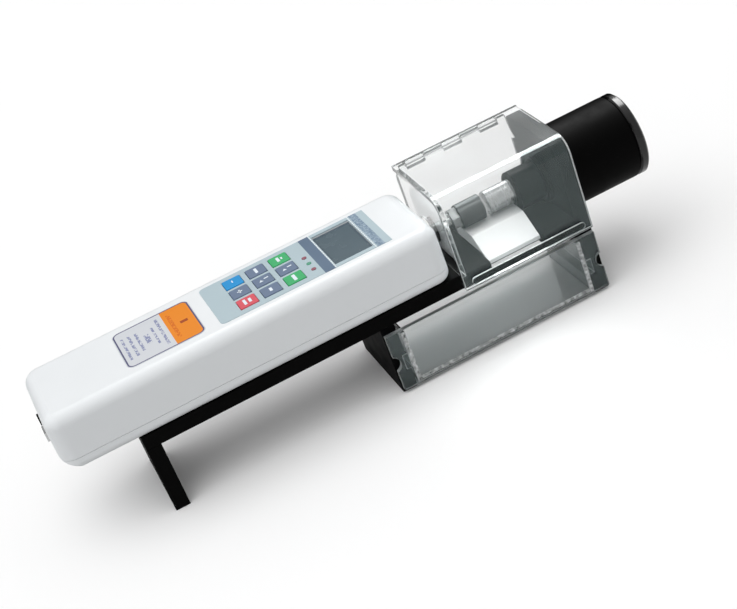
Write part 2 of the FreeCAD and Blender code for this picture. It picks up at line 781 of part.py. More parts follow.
def make_shells():
    """The gauge's top and bottom shells, cut from one hollow rounded block."""
    hollow = cut("hollow", housing_block("Outer", "0"), housing_block("Inner", "shell_wall"))
    wide_x = ("0 - overrun", "gauge_length + overrun")
    wide_y = ("gauge_front - overrun", "gauge_back + overrun")
    upper_room = block("upper_room", wide_x, wide_y, ("seam + seam_gap", "gauge_top + overrun"))
    lower_room = block("lower_room", wide_x, wide_y, ("plate_top - overrun", "seam"))
    top = common("top_half", hollow, upper_room)
    bottom = common("bottom_half", hollow, lower_room)
    upper_bosses = [rod(f"upper_boss_{i}", "Z", "boss_radius", spot, "seam + seam_gap",
                        "gauge_ceiling + fine_gap") for i, spot in enumerate(SHELL_SCREWS)]
    tools = [rod(f"boss_hole_{i}", "Z", "small_screw_radius + fine_gap", spot,
                 "seam - overrun", "gauge_ceiling - overrun")
             for i, spot in enumerate(SHELL_SCREWS)]
    tools += key_openings("shell_opening", ("gauge_ceiling - overrun", "gauge_top + overrun"))
    tools += [rod(f"shell_led_{i}", "Z", "led_radius + fine_gap", spot,
                  "gauge_ceiling - overrun", "gauge_top + overrun")
              for i, spot in enumerate(led_spots())]
    tools.append(block("shell_lcd", ("lcd_start", "lcd_end"),
                       ("axis_y - lcd_width / 2", "axis_y + lcd_width / 2"),
                       ("gauge_ceiling - overrun", "gauge_top + overrun")))
    tools.append(panel_blank("PanelSeat", "fine_gap", "gauge_top + overrun"))
    tools.append(label_blank("LabelSeat", "fine_gap", "gauge_top + overrun"))
    tools.append(rod("bush_hole", "X", "rod_bush_radius + fine_gap", ("axis_y", "axis_z"),
                     "gauge_length - shell_wall - overrun", "gauge_length + overrun"))
    tools.append(rod("charger_hole", "X", "charger_radius + fine_gap",
                     ("axis_y + socket_side", "axis_z"), "0 - overrun", "shell_wall + overrun"))
    tools.append(block("data_hole", ("0 - overrun", "shell_wall + overrun"),
                       ("axis_y - socket_side - data_width / 2 - fine_gap",
                        "axis_y - socket_side + data_width / 2 + fine_gap"),
                       ("axis_z - data_height / 2 - fine_gap",
                        "axis_z + data_height / 2 + fine_gap")))
    keep(cut("TopShell", fuse("top_with_bosses", top, *upper_bosses), *tools), "gauge_top_shell")
    lower_bosses = [rod(f"lower_boss_{i}", "Z", "boss_radius", spot, "gauge_floor - fine_gap",
                        "seam") for i, spot in enumerate(SHELL_SCREWS)]
    lower_bosses += [rod(f"insert_boss_{i}", "Z", "insert_radius + insert_boss_wall", spot,
                         "gauge_floor - fine_gap", "plate_top + insert_height")
                     for i, spot in enumerate(HOUSING_SCREWS)]
    tools = [rod(f"lower_hole_{i}", "Z", "small_screw_radius + fine_gap", spot,
                 "plate_top - overrun", "seam + overrun") for i, spot in enumerate(SHELL_SCREWS)]
    tools += [rod(f"lower_sink_{i}", "Z", "small_head_radius + fine_gap", spot,
                  "plate_top - overrun", "plate_top + small_head_height + fine_gap")
              for i, spot in enumerate(SHELL_SCREWS)]
    tools += [rod(f"insert_hole_{i}", "Z", "insert_radius", spot,
                  "plate_top - overrun", "plate_top + insert_height + overrun")
              for i, spot in enumerate(HOUSING_SCREWS)]
    tools += [rod(f"foot_hole_{i}", "Z", "screw_radius + fine_gap", spot,
                  "plate_top - overrun", "gauge_floor + overrun")
              for i, spot in enumerate(FOOT_SCREWS)]
    keep(cut("BottomShell", fuse("bottom_with_bosses", bottom, *lower_bosses), *tools),
         "gauge_bottom_shell")


def rounded_plate(name, x, y, z, radius, ends=("min", "max")):
    """A plate with rounded corners in plan at one or both of its ends."""
    body = new_body(name)
    sketch = rectangle(sketch_on(body, name + "_outline", "XY", z[0]), x, y)
    pad(sketch, f"({z[1]}) - ({z[0]})")
    dress(body, name + "_corners", "Fillet", radius, "Z", x=ends)
    return body


def panel_blank(name, gap, top):
    """The keypad panel's outline, widened by a gap and run up to a height."""
    return rounded_plate(name, (f"panel_start - {gap}", f"panel_end + {gap}"),
                         (f"panel_front - {gap}", f"panel_back + {gap}"),
                         ("panel_base", top), f"panel_radius + {gap}", ("min",))


def label_blank(name, gap, top):
    """The label's outline, widened by a gap and run up to a height."""
    return rounded_plate(name, (f"label_start - {gap}", f"label_end + {gap}"),
                         (f"axis_y - label_width / 2 - {gap}",
                          f"axis_y + label_width / 2 + {gap}"),
                         ("label_base", top), f"label_radius + {gap}")


def make_panel():
    """The keypad panel, the display window in it, the status lights and the label."""
    plate = panel_blank("PanelPlate", "0", "panel_face")
    tools = key_openings("panel_opening", ("panel_base - overrun", "panel_face + overrun"))
    tools += [rod(f"panel_led_{i}", "Z", "led_radius + fine_gap", spot,
                  "panel_base - overrun", "panel_face + overrun")
              for i, spot in enumerate(led_spots())]
    tools.append(block("panel_lcd", ("lcd_start", "lcd_end"),
                       ("axis_y - lcd_width / 2", "axis_y + lcd_width / 2"),
                       ("panel_base - overrun", "panel_face + overrun")))
    keep(cut("KeypadPanel", plate, *tools), "keypad_panel")
    keep(block("LcdWindow", ("lcd_start + fine_gap", "lcd_end - fine_gap"),
               ("axis_y - lcd_width / 2 + fine_gap", "axis_y + lcd_width / 2 - fine_gap"),
               ("lcd_base", "lcd_top")), "lcd_window")
    keep(block("LcdModule", ("lcd_start - lcd_rim", "lcd_end + lcd_rim"),
               ("axis_y - lcd_width / 2 - lcd_rim", "axis_y + lcd_width / 2 + lcd_rim"),
               ("board_top", "gauge_ceiling")), "lcd_module")
    lights = [rod(f"light_{i}", "Z", "led_radius", spot, "board_top", "panel_face + led_proud")
              for i, spot in enumerate(led_spots())]
    keep(group("StatusLeds", lights), "status_leds")
    keep(label_blank("LabelPlate", "0", "label_base + label_thickness"), "label_plate")


def make_keys():
    """Nine sprung keys, each over its own dome on the board."""
    domes = []
    half = "key_size / 2"
    for row, column, x, y in key_spots():
        name = f"key_{row}_{column}"
        body = rounded_plate(name, (f"{x} - {half}", f"{x} + {half}"),
                             (f"{y} - {half}", f"{y} + {half}"), ("key_base", "key_top"),
                             "key_corner_radius")
        dress(body, name + "_rim", "Fillet", "key_edge_radius", z=("max",))
        keep(body, name)
        domes.append(rod(f"dome_{row}_{column}", "Z", "dome_radius", (x, y),
                         "board_top", "dome_top"))
    keep(group("KeyDomes", domes), "key_domes")


def make_electronics():
    """Circuit board with its standoffs, the battery pack and the two sockets."""
    x_ends = ("board_start", "board_end")
    y_ends = ("axis_y - board_width / 2", "axis_y + board_width / 2")
    spots = [(x, y) for x in (f"{x_ends[0]} + standoff_inset", f"{x_ends[1]} - standoff_inset")
             for y in (f"{y_ends[0]} + standoff_inset", f"{y_ends[1]} - standoff_inset")]
    board = block("board_blank", x_ends, y_ends, ("board_base", "board_top"))
    holes = [rod(f"board_hole_{i}", "Z", "small_screw_radius + fine_gap", spot,
                 "board_base - overrun", "board_top + overrun") for i, spot in enumerate(spots)]
    keep(cut("MainBoard", board, *holes), "main_circuit_board")
    standoffs = [cut(f"standoff_{i}",
                     rod(f"post_{i}", "Z", "standoff_radius", spot, "board_top", "gauge_ceiling"),
                     rod(f"post_hole_{i}", "Z", "small_screw_radius + fine_gap", spot,
                         "board_top - overrun", "gauge_ceiling - overrun"))
                 for i, spot in enumerate(spots)]
    keep(group("Standoffs", standoffs), "board_standoffs")
    screws = [small_screw(f"board_screw_{i}", "Z", spot, "board_base - small_head_height",
                          "board_base", "board_top + board_drop / 2")
              for i, spot in enumerate(spots)]
    keep(group("BoardScrews", screws), "board_screws")
    cells = [rod(f"battery_cell_{i}", "X", "battery_radius",
                 (f"axis_y + ({i} - 1) * 2 * (battery_radius - fine_gap)",
                  "gauge_floor + battery_radius"),
                 "battery_start", "battery_start + battery_length")
             for i in range(BATTERY_CELLS)]
    keep(fuse("BatteryPack", *cells), "battery_pack")
    charger_at = ("axis_y + socket_side", "axis_z")
    keep(cut("Charger", rod("charger_body", "X", "charger_radius", charger_at,
                            "0 - socket_proud", "socket_length"),
             rod("charger_bore", "X", "charger_hole_radius", charger_at,
                 "0 - socket_proud - overrun", "socket_length / 2")), "charging_socket")
    low_y, high_y = "axis_y - socket_side - data_width / 2", "axis_y - socket_side + data_width / 2"
    low_z, high_z = "axis_z - data_height / 2", "axis_z + data_height / 2"
    keep(cut("DataSocket",
             block("data_body", ("0 - socket_proud", "socket_length"), (low_y, high_y),
                   (low_z, high_z)),
             block("data_room", ("0 - socket_proud - overrun", "socket_length / 2"),
                   (low_y + " + data_wall", high_y + " - data_wall"),
                   (low_z + " + data_wall", high_z + " - data_wall"))), "data_socket")


def make_force_path():
    """Load cell, its bracket, the force rod, the rod's bush and the screws that hold them."""
    half = "cell_width / 2"
    body = new_body("LoadCell")
    sketch = sketch_on(body, "cell_side", "XZ", f"{half} - axis_y")
    rectangle(sketch, ("cell_start", "cell_end"),
              ("axis_z - cell_height / 2", "axis_z + cell_height / 2"))
    pad(sketch, "cell_width", True)
    for name, edge, sign in (("upper_slot", "cell_start + cell_slot_inset", "+"),
                             ("lower_slot", "cell_end - cell_slot_inset", "-")):
        slot = sketch_on(body, name, "XZ", f"{half} + overrun - axis_y")
        inner = f"axis_z {sign} (cell_height / 2 - cell_slot_depth)"
        outer = f"axis_z {sign} (cell_height / 2 + overrun)"
        rectangle(slot, (f"{edge} - cell_slot / 2", f"{edge} + cell_slot / 2"), (inner, outer))
        pocket(slot, "cell_width + 2 * overrun")
    window = sketch_on(body, "cell_window", "XZ", f"{half} + overrun - axis_y")
    rectangle(window, ("cell_start + 2 * cell_slot_inset", "cell_end - 2 * cell_slot_inset"),
              ("axis_z - cell_height / 2 + cell_slot_depth",
               "axis_z + cell_height / 2 - cell_slot_depth"))
    pocket(window, "cell_width + 2 * overrun")
    rod_hole = sketch_on(body, "rod_hole", "YZ", "cell_end")
    circle(rod_hole, "axis_y", "axis_z", "rod_radius + fine_gap")
    pocket(rod_hole, "cell_bolt_depth")
    bolts = [(f"axis_y {sign} cell_bolt_side", "axis_z") for sign in "-+"]
    drilled(body, "bolt_holes", "YZ", "cell_start", bolts,
            "small_screw_radius + fine_gap", "cell_bolt_depth", True)
    keep(body, "load_cell")
    body = new_body("CellBracket")
    sketch = sketch_on(body, "bracket_side", "XZ", f"{half} - axis_y")
    outline(sketch, [
        ("cell_start - bracket_wall", "gauge_floor"),
        ("cell_start + bracket_foot_length", "gauge_floor"),
        ("cell_start + bracket_foot_length", "gauge_floor + bracket_foot"),
        ("cell_start", "gauge_floor + bracket_foot"),
        ("cell_start", "axis_z + cell_height / 2"),
        ("cell_start - bracket_wall", "axis_z + cell_height / 2")])
    pad(sketch, "cell_width", True)
    drilled(body, "foot_holes", "XY", "gauge_floor", FOOT_SCREWS,
            "screw_radius + fine_gap", "bracket_foot", True)
    drilled(body, "wall_holes", "YZ", "cell_start", bolts,
            "small_screw_radius + fine_gap", "bracket_wall")
    keep(body, "load_cell_bracket")
    screws = [small_screw(f"cell_screw_{i}", "X", spot,
                          "cell_start - bracket_wall - small_head_height",
                          "cell_start - bracket_wall", "cell_start + cell_bolt_depth - fine_gap")
              for i, spot in enumerate(bolts)]
    keep(group("CellScrews", screws), "load_cell_screws")
    axis = ("axis_y", "axis_z")
    keep(rod("ForceRod", "X", "rod_radius", axis, "cell_end - cell_bolt_depth",
             "jaw_start + jaw_bore_depth"), "force_rod")
    keep(turned("RodBush", [
        ("gauge_length - shell_wall", "rod_radius + rod_gap"),
        ("gauge_length + rod_bush_flange", "rod_radius + rod_gap"),
        ("gauge_length + rod_bush_flange", "rod_bush_radius + rod_bush_flange"),
        ("gauge_length", "rod_bush_radius + rod_bush_flange"),
        ("gauge_length", "rod_bush_radius"),
        ("gauge_length - shell_wall", "rod_bush_radius")]), "rod_bush")


def make_gauge_screws():
    """Screws that close the housing and screws that hold the gauge to the bracket."""
    screws = [small_screw(f"shell_screw_{i}", "Z", spot, "plate_top + fine_gap",
                          "plate_top + small_head_height", "axis_z")
              for i, spot in enumerate(SHELL_SCREWS)]
    keep(group("ShellScrews", screws), "shell_screws")
    reach = "(plate_thickness - screw_head_height + shell_wall + bracket_foot)"
    screws = [cap_screw(f"gauge_screw_{i}", "Z", spot, "plate_bottom", reach, -1)
              for i, spot in enumerate(HOUSING_SCREWS + FOOT_SCREWS)]
    keep(group("GaugeScrews", screws), "gauge_screws")
    inserts = [cut(f"insert_{i}",
                   rod(f"insert_body_{i}", "Z", "insert_radius", spot, "plate_top",
                       "plate_top + insert_height"),
                   rod(f"insert_thread_{i}", "Z", "screw_radius + fine_gap", spot,
                       "plate_top - overrun", "plate_top + insert_height + overrun"))
               for i, spot in enumerate(HOUSING_SCREWS)]
    keep(group("Inserts", inserts), "gauge_inserts")


# Jaws and tablet rest


def make_jaw():
    """The jaw on the force rod, its lock nut, and the rest under the tablet."""
    body = turned("FixedJaw", [
        ("jaw_start", "rod_radius + fine_gap"),
        ("jaw_start + jaw_bore_depth", "rod_radius + fine_gap"),
        ("jaw_start + jaw_bore_depth", "0"),
        ("jaw_end", "0"), ("jaw_end", "jaw_radius"), ("jaw_start", "jaw_radius")])
    dress_rims(body, "jaw_rims", "jaw_edge_radius")
    keep(body, "fixed_jaw")
    nut = hexagon("NutBlank", "X", "nut_radius", ("axis_y", "axis_z"),
                  "jaw_start - nut_length", "jaw_start")
    hole = rod("nut_thread", "X", "rod_radius + fine_gap", ("axis_y", "axis_z"),
               "jaw_start - nut_length - overrun", "jaw_start + overrun")
    keep(cut("LockNut", nut, hole), "jaw_lock_nut")


def make_rest():
    """The white shelf under the tablet, whose ramp leads broken pieces to the drop opening."""
    body = new_body("TabletRest")
    sketch = sketch_on(body, "rest_side", "YZ", "rest_start")
    lip_z = "plate_top - ramp_foot_drop - ramp_lip"
    outline(sketch, [
        ("rest_back", "plate_top"), ("rest_back", "rest_top"), ("rest_front", "rest_top"),
        ("ramp_foot_y", "plate_top - ramp_foot_drop"), ("ramp_foot_y", lip_z),
        ("drop_depth - fine_gap", lip_z), ("drop_depth - fine_gap", "plate_top")])
    pad(sketch, "rest_length")
    dress(body, "rest_rounding", "Fillet", "rest_edge_radius", "X", z=("max",))
    drilled(body, "rest_holes", "XY", "plate_top", REST_SCREWS,
            "screw_radius + fine_gap", "rest_thread", True)
    keep(body, "tablet_rest")
    reach = "(plate_thickness - screw_head_height + rest_thread - fine_gap)"
    screws = [cap_screw(f"rest_screw_{i}", "Z", spot, "plate_bottom", reach, -1)
              for i, spot in enumerate(REST_SCREWS)]
    keep(group("RestScrews", screws), "rest_screws")


# Feed


def make_sleeve():
    """The guide sleeve through the end plate, its nut, its key and the bush in its tail."""
    sleeve = turned("Sleeve", [
        ("sleeve_start", "bore_radius"), ("bush_start", "bore_radius"),
        ("bush_start", "bush_radius + press_gap"), ("sleeve_end", "bush_radius + press_gap"),
        ("sleeve_end", "sleeve_radius"), ("end_plate_face", "sleeve_radius"),
        ("end_plate_face", "shoulder_radius"), ("shoulder_start", "shoulder_radius"),
        ("shoulder_start", "sleeve_radius"), ("sleeve_start", "sleeve_radius")])
    key_y = ("axis_y - key_way_width / 2", "axis_y + key_way_width / 2")
    key_room = block("key_room", ("sleeve_start - overrun", "shoulder_start"), key_y,
                     ("axis_z - sleeve_radius - overrun", "axis_z - bore_radius + key_way_depth"))
    keep(cut("GuideSleeve", sleeve, key_room), "guide_sleeve")
    keep(block("GuideKey", ("sleeve_start", "shoulder_start"), key_y,
               ("axis_z - sleeve_radius + key_way_depth",
                "axis_z - pusher_radius + key_way_depth - key_way_gap")), "guide_key")
    keep(turned("RingNut", tube_profile("end_plate_out", "end_plate_out + ring_nut_length",
                                        "ring_nut_radius", "sleeve_radius + fine_gap")),
         "sleeve_ring_nut")
    keep(turned("ScrewBush", tube_profile("bush_start", "sleeve_end", "bush_radius",
                                          "feed_radius + running_gap")), "screw_bush")


def make_pusher():
    """The steel pusher with the key way along its underside and the screw's bore in its back."""
    body = turned("PusherBody", [
        ("pusher_face + pusher_nose", "0"), ("pusher_face", "0"),
        ("pusher_face", "pusher_radius - jaw_edge_radius"),
        ("pusher_face + jaw_edge_radius", "pusher_radius"),
        ("pusher_end", "pusher_radius"), ("pusher_end", "feed_radius + feed_thread_gap"),
        ("pusher_face + pusher_nose", "feed_radius + feed_thread_gap")])
    way = block("key_way", ("pusher_face + key_way_margin", "pusher_end + overrun"),
                ("axis_y - key_way_width / 2 - key_way_gap",
                 "axis_y + key_way_width / 2 + key_way_gap"),
                ("axis_z - pusher_radius - overrun", "axis_z - pusher_radius + key_way_depth"))
    keep(cut("Pusher", body, way), "pusher")


def make_knob():
    """Feed screw and collar, the hollow knob pinned to the screw, and the knob's end cap."""
    pin_x = "(hub_start + hub_end) / 2"
    pin_ends = ("axis_z - knob_hub_radius", "axis_z + knob_hub_radius")
    thread = "screw_radius + fine_gap"
    screw = turned("FeedScrewBody", [
        ("feed_start", "0"), ("knob_body_end - cap_thread", "0"),
        ("knob_body_end - cap_thread", thread), ("knob_body_end", thread),
        ("knob_body_end", "feed_radius"), ("feed_start + feed_tip_taper", "feed_radius"),
        ("feed_start", "feed_radius - feed_tip_taper")])
    hole = rod("screw_pin_hole", "Z", "knob_pin_radius + press_gap", (pin_x, "axis_y"), *pin_ends)
    keep(cut("FeedScrew", screw, hole), "feed_screw")
    keep(turned("Collar", tube_profile("bush_start - collar_gap - collar_length",
                                       "bush_start - collar_gap",
                                       "bore_radius - collar_gap", "feed_radius + press_gap")),
         "screw_collar")
    knob = turned("KnobBody", [
        ("knob_start", "knob_cavity_radius"), ("knob_start", "knob_radius - knob_edge_radius"),
        ("knob_start + knob_edge_radius", "knob_radius"),
        ("knob_body_end - cap_groove", "knob_radius"),
        ("knob_body_end - cap_groove", "knob_radius - cap_groove_depth"),
        ("knob_body_end", "knob_radius - cap_groove_depth"),
        ("knob_body_end", "feed_radius + press_gap"), ("hub_start", "feed_radius + press_gap"),
        ("hub_start", "knob_hub_radius"), ("hub_end", "knob_hub_radius"),
        ("hub_end", "knob_cavity_radius")])
    hole = rod("knob_pin_hole", "Z", "knob_pin_radius + press_gap", (pin_x, "axis_y"),
               "axis_z - knob_hub_radius - overrun", "axis_z + knob_hub_radius + overrun")
    keep(cut("Knob", knob, hole), "knob")
    keep(rod("KnobPin", "Z", "knob_pin_radius", (pin_x, "axis_y"), *pin_ends), "knob_pin")
    sunk = "cap_seat - screw_head_height"
    keep(turned("KnobCap", [
        ("knob_body_end", thread), ("knob_body_end", "knob_radius - knob_edge_radius"),
        ("knob_body_end + knob_edge_radius", "knob_radius"),
        ("knob_end - knob_edge_radius", "knob_radius"),
        ("knob_end", "knob_radius - knob_edge_radius"), ("knob_end", "cap_recess_radius"),
        ("cap_seat", "cap_recess_radius"), ("cap_seat", "screw_head_radius + fine_gap"),
        (sunk, "screw_head_radius + fine_gap"), (sunk, thread)]), "knob_cap")
    reach = f"({sunk} - knob_body_end + cap_thread - fine_gap)"
    keep(cap_screw("CapScrew", "X", ("axis_y", "axis_z"), "cap_seat", reach, 1),
         "knob_cap_screw")


# Chamber walls, lid and drawer


def knuckle_span(number):
    """Start of one hinge knuckle along X."""
    return f"hinge_start + {number} * knuckle_pitch"


def add_knuckles(body, numbers, web_corners, hole_gap):
    """Barrels with webs on a body's back edge, bored for the hinge pin."""
    for number in numbers:
        web = sketch_on(body, f"{body.Name}_web_{number}", "YZ", knuckle_span(number))
        outline(web, web_corners)
        pad(web, "knuckle_length")
        barrel = sketch_on(body, f"{body.Name}_barrel_{number}", "YZ", knuckle_span(number))
        circle(barrel, "hinge_y", "hinge_z", "barrel_radius")
        pad(barrel, "knuckle_length")
    bore = sketch_on(body, body.Name + "_bore", "YZ", "hinge_start - overrun")
    circle(bore, "hinge_y", "hinge_z", f"pin_radius + {hole_gap}")
    pocket(bore, "hinge_end - hinge_start + 2 * overrun", True)


def make_walls():
    """The clear wall beside the gauge and the clear wall behind the chamber."""
    body = new_body("SideWall")
    sketch = sketch_on(body, "side_wall_outline", "YZ", "wall_left")
    half = "rod_slot_width / 2"
    rectangle(sketch, ("0", "plate_depth"), ("wall_base", "end_plate_height"))
    pad(sketch, "wall_thickness")
    dress(body, "side_wall_corners", "Fillet", "end_corner_radius", "X",
          y=("min", "max"), z=("max",))
    slot = sketch_on(body, "rod_slot", "YZ", "wall_left - overrun")
    rectangle(slot, (f"axis_y - {half}", f"axis_y + {half}"),
              ("wall_base - overrun", f"plate_top + rod_slot_rise - {half}"))
    pocket(slot, "wall_thickness + 2 * overrun", True)
    arch = sketch_on(body, "rod_slot_arch", "YZ", "wall_left - overrun")
    circle(arch, "axis_y", f"plate_top + rod_slot_rise - {half}", half)
    pocket(arch, "wall_thickness + 2 * overrun", True)
    keep(body, "chamber_side_wall")
    body = new_body("RearWall")
    sketch = sketch_on(body, "rear_wall_outline", "YZ", "wall_right")
    rectangle(sketch, ("rear_wall_front", "plate_depth"), ("wall_base", "end_plate_height"))
    pad(sketch, "end_plate_face - wall_right - fine_gap")
    low = "hinge_z - barrel_radius"
    add_knuckles(body, FIXED_KNUCKLES, [
        ("rear_wall_front", low), ("hinge_y", low), ("hinge_y", "end_plate_height"),
        ("rear_wall_front", "end_plate_height")], "press_gap")
    keep(body, "chamber_rear_wall")
    keep(rod("HingePin", "X", "pin_radius", ("hinge_y", "hinge_z"),
             "hinge_start - pin_overhang", "hinge_end + pin_overhang"), "hinge_pin")


def make_lid():
    """The clear bent lid with its two knuckles, and the finger strip on its front."""
    body = new_body("Lid")
    sketch = sketch_on(body, "lid_side", "YZ", "lid_left")
    outline(sketch, [
        ("lid_front", "lid_bottom"), ("0 - lid_front_gap", "lid_bottom"),
        ("0 - lid_front_gap", "lid_ceiling"), ("lid_back", "lid_ceiling"),
        ("lid_back", "lid_top"), ("lid_front", "lid_top")])
    pad(sketch, "lid_right - lid_left")
    dress(body, "lid_outer_bend", "Fillet", "lid_bend_radius", "X", y=("min",), z=("max",))
    dress(body, "lid_inner_bend", "Fillet", "lid_bend_radius - lid_thickness", "X",
          y=("inside",), z=("inside",))
    near = "hinge_y - barrel_radius"
    add_knuckles(body, LID_KNUCKLES, [
        ("lid_back - lid_thickness", "lid_ceiling"), (near, "lid_ceiling"), (near, "hinge_z"),
        ("hinge_y", "hinge_z"), ("hinge_y", "hinge_z + barrel_radius"), ("lid_back", "lid_top"),
        ("lid_back - lid_thickness", "lid_top")], "running_gap")
    keep(body, "lid")
    body = new_body("FingerStrip")
    low = "lid_bottom + strip_rise"
    sketch = sketch_on(body, "strip_face", "XZ", "0 - lid_front")
    rectangle(sketch, ("lid_left + strip_side_inset", "lid_right - strip_side_inset"),
              (low, f"{low} + strip_height"))
    pad(sketch, "strip_proud")
    dress(body, "strip_ends", "Fillet", "strip_height / 2 - fine_gap", "Y")
    dress(body, "strip_rim", "Fillet", "lid_edge_radius", y=("min",))
    keep(body, "lid_finger_strip")


def make_drawer():
    """The clear drawer: front with pull notches, tray and two runners."""
    body = new_body("DrawerFront")
    sketch = sketch_on(body, "front_face", "XZ", "drawer_front_gap")
    rectangle(sketch, ("drawer_front_left", "drawer_front_right"),
              ("drawer_front_bottom", "drawer_front_top"))
    pad(sketch, "drawer_front_thickness")
    notches = sketch_on(body, "pull_notches", "XZ", "0 - overrun")
    offset = "pull_notch_radius - pull_notch_depth"
    circle(notches, f"drawer_front_left - ({offset})", "pull_notch_z", "pull_notch_radius")
    circle(notches, f"drawer_front_right + ({offset})", "pull_notch_z", "pull_notch_radius")
    pocket(notches, "drawer_front_gap + drawer_front_thickness + 2 * overrun", True)
    keep(body, "drawer_front")
    body = new_body("DrawerTray")
    sketch = sketch_on(body, "tray_outline", "XY", "drawer_front_bottom")
    rectangle(sketch, ("drawer_left", "drawer_right"), ("0 - drawer_front_gap", "drawer_back"))
    pad(sketch, "drawer_height")
    room = sketch_on(body, "tray_room", "XY", "drawer_front_bottom + drawer_height")
    rectangle(room, ("drawer_left + drawer_wall", "drawer_right - drawer_wall"),
              ("0 - drawer_front_gap - overrun", "drawer_back - drawer_wall"))
    pocket(room, "drawer_height - drawer_wall")
    keep(body, "drawer_tray")
    runner_y = ("0", "runner_length")
    runner_z = ("groove_bottom + runner_gap", "groove_top - runner_gap")
    left = block("left_runner", ("side_plate_right - groove_depth + runner_end_gap",
                                 "drawer_left"), runner_y, runner_z)
    right = block("right_runner", ("drawer_right",
                                   "end_plate_face + groove_depth - runner_end_gap"),
                  runner_y, runner_z)
    keep(group("Runners", [left, right]), "drawer_runners")


make_base_plate()
make_rear_leg()
make_side_plate()
make_end_plate()
make_frame_screws()
make_shells()
make_panel()
make_keys()
make_electronics()
make_force_path()
make_gauge_screws()
make_jaw()
make_rest()
make_sleeve()
make_pusher()
make_knob()
make_walls()
make_lid()
make_drawer()
doc.recompute()

for item in doc.Objects:
    if "Invalid" in item.State or "Error" in item.State:
        raise RuntimeError(f"{item.Name} ({item.Label}) failed: {item.State}")
for label, item in nodes.items():
    if item.Shape.isNull() or not item.Shape.isValid() or not item.Shape.Solids:
        raise RuntimeError(f"{label} has no valid solid")

os.makedirs("parts", exist_ok=True)
for label, item in nodes.items():
    item.Shape.exportStep(f"parts/{label}.step")
    print(f"{label}: {len(item.Shape.Solids)} solids, {item.Shape.Volume:.1f} mm3")
print(f"{len(nodes)} pieces")
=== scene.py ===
"""Looks, lights and camera for the tablet hardness tester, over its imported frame."""

import json
import logging
import math
from dataclasses import dataclass, field
from enum import Enum

import bmesh
import bpy
from mathutils import Matrix, Vector, noise


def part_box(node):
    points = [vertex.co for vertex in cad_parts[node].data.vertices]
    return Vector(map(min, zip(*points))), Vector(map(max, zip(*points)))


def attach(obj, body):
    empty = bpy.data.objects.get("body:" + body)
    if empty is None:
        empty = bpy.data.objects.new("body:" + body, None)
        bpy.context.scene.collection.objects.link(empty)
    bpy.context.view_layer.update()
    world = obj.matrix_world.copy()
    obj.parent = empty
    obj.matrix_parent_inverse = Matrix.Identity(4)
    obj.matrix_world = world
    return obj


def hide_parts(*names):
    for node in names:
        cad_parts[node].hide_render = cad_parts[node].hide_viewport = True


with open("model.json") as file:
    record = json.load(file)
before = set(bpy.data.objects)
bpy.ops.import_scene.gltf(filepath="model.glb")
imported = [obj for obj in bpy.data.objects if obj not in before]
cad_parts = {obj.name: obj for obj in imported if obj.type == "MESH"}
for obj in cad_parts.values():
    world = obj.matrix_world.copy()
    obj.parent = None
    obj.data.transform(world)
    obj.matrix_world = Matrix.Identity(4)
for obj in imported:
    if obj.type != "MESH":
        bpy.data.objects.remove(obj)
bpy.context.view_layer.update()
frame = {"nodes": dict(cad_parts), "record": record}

log = logging.getLogger("tester")
Vec3 = tuple[float, float, float]
Colour = tuple[float, float, float, float]
Value = float | Vec3 | Colour | bpy.types.Node | bpy.types.NodeSocket

# A millimetre in metres
MM = 0.001
# Width of the photo in pixels
PHOTO_WIDTH = 737
# The range that most values of a noise pattern lie in
MIDDLE = (0.3, 0.7)
# Inputs of a node that mixes two colours: the share of the upper one, the lower and the upper one
SHARE, UNDER, OVER = 0, 6, 7
WHITE = (1.0, 1.0, 1.0, 1.0)


def linear(code: str) -> Colour:
    """Turn an sRGB hex colour into linear red, green, blue and alpha.

    Args:
        code: colour as a hash sign and six hex digits.

    Returns:
        The linear colour with an alpha of one.
    """
    channels = [int(code[i : i + 2], 16) / 255 for i in (1, 3, 5)]
    bright = [c / 12.92 if c <= 0.04045 else ((c + 0.055) / 1.055) ** 2.4 for c in channels]
    return (bright[0], bright[1], bright[2], 1.0)


def shaded(code: str, share: float) -> Colour:
    """Make an sRGB hex colour lighter or darker by a share of itself.

    Args:
        code: colour as a hash sign and six hex digits.
        share: how much lighter; darker where it is negative.

    Returns:
        The linear colour, with no channel above one.
    """
    red, green, blue = (min(1.0, channel * (1.0 + share)) for channel in linear(code)[:3])
    return (red, green, blue, 1.0)


def per_metre(size_mm: float) -> float:
    """Scale of a pattern whose features are this many millimetres across."""
    return 1.0 / (size_mm * MM)


class BenchGrid:
    """The bench grid in millimetres: zero at the gauge's rear end, the bracket's front, the floor."""

    def __init__(self) -> None:
        """Find the grid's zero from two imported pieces."""
        self.zero = Vector((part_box("gauge_top_shell")[0].x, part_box("base_plate")[0].y, 0.0))

    def at(self, x: float, y: float, z: float) -> Vector:
        """Point of the shared frame, in metres, for a place on the bench grid."""
        return self.zero + Vector((x, y, z)) * MM


GRID = BenchGrid()
# A point on the middle line of jaw, pusher, screw and knob, which runs along X
FEED_AXIS = GRID.at(0.0, 32.0, 65.3)


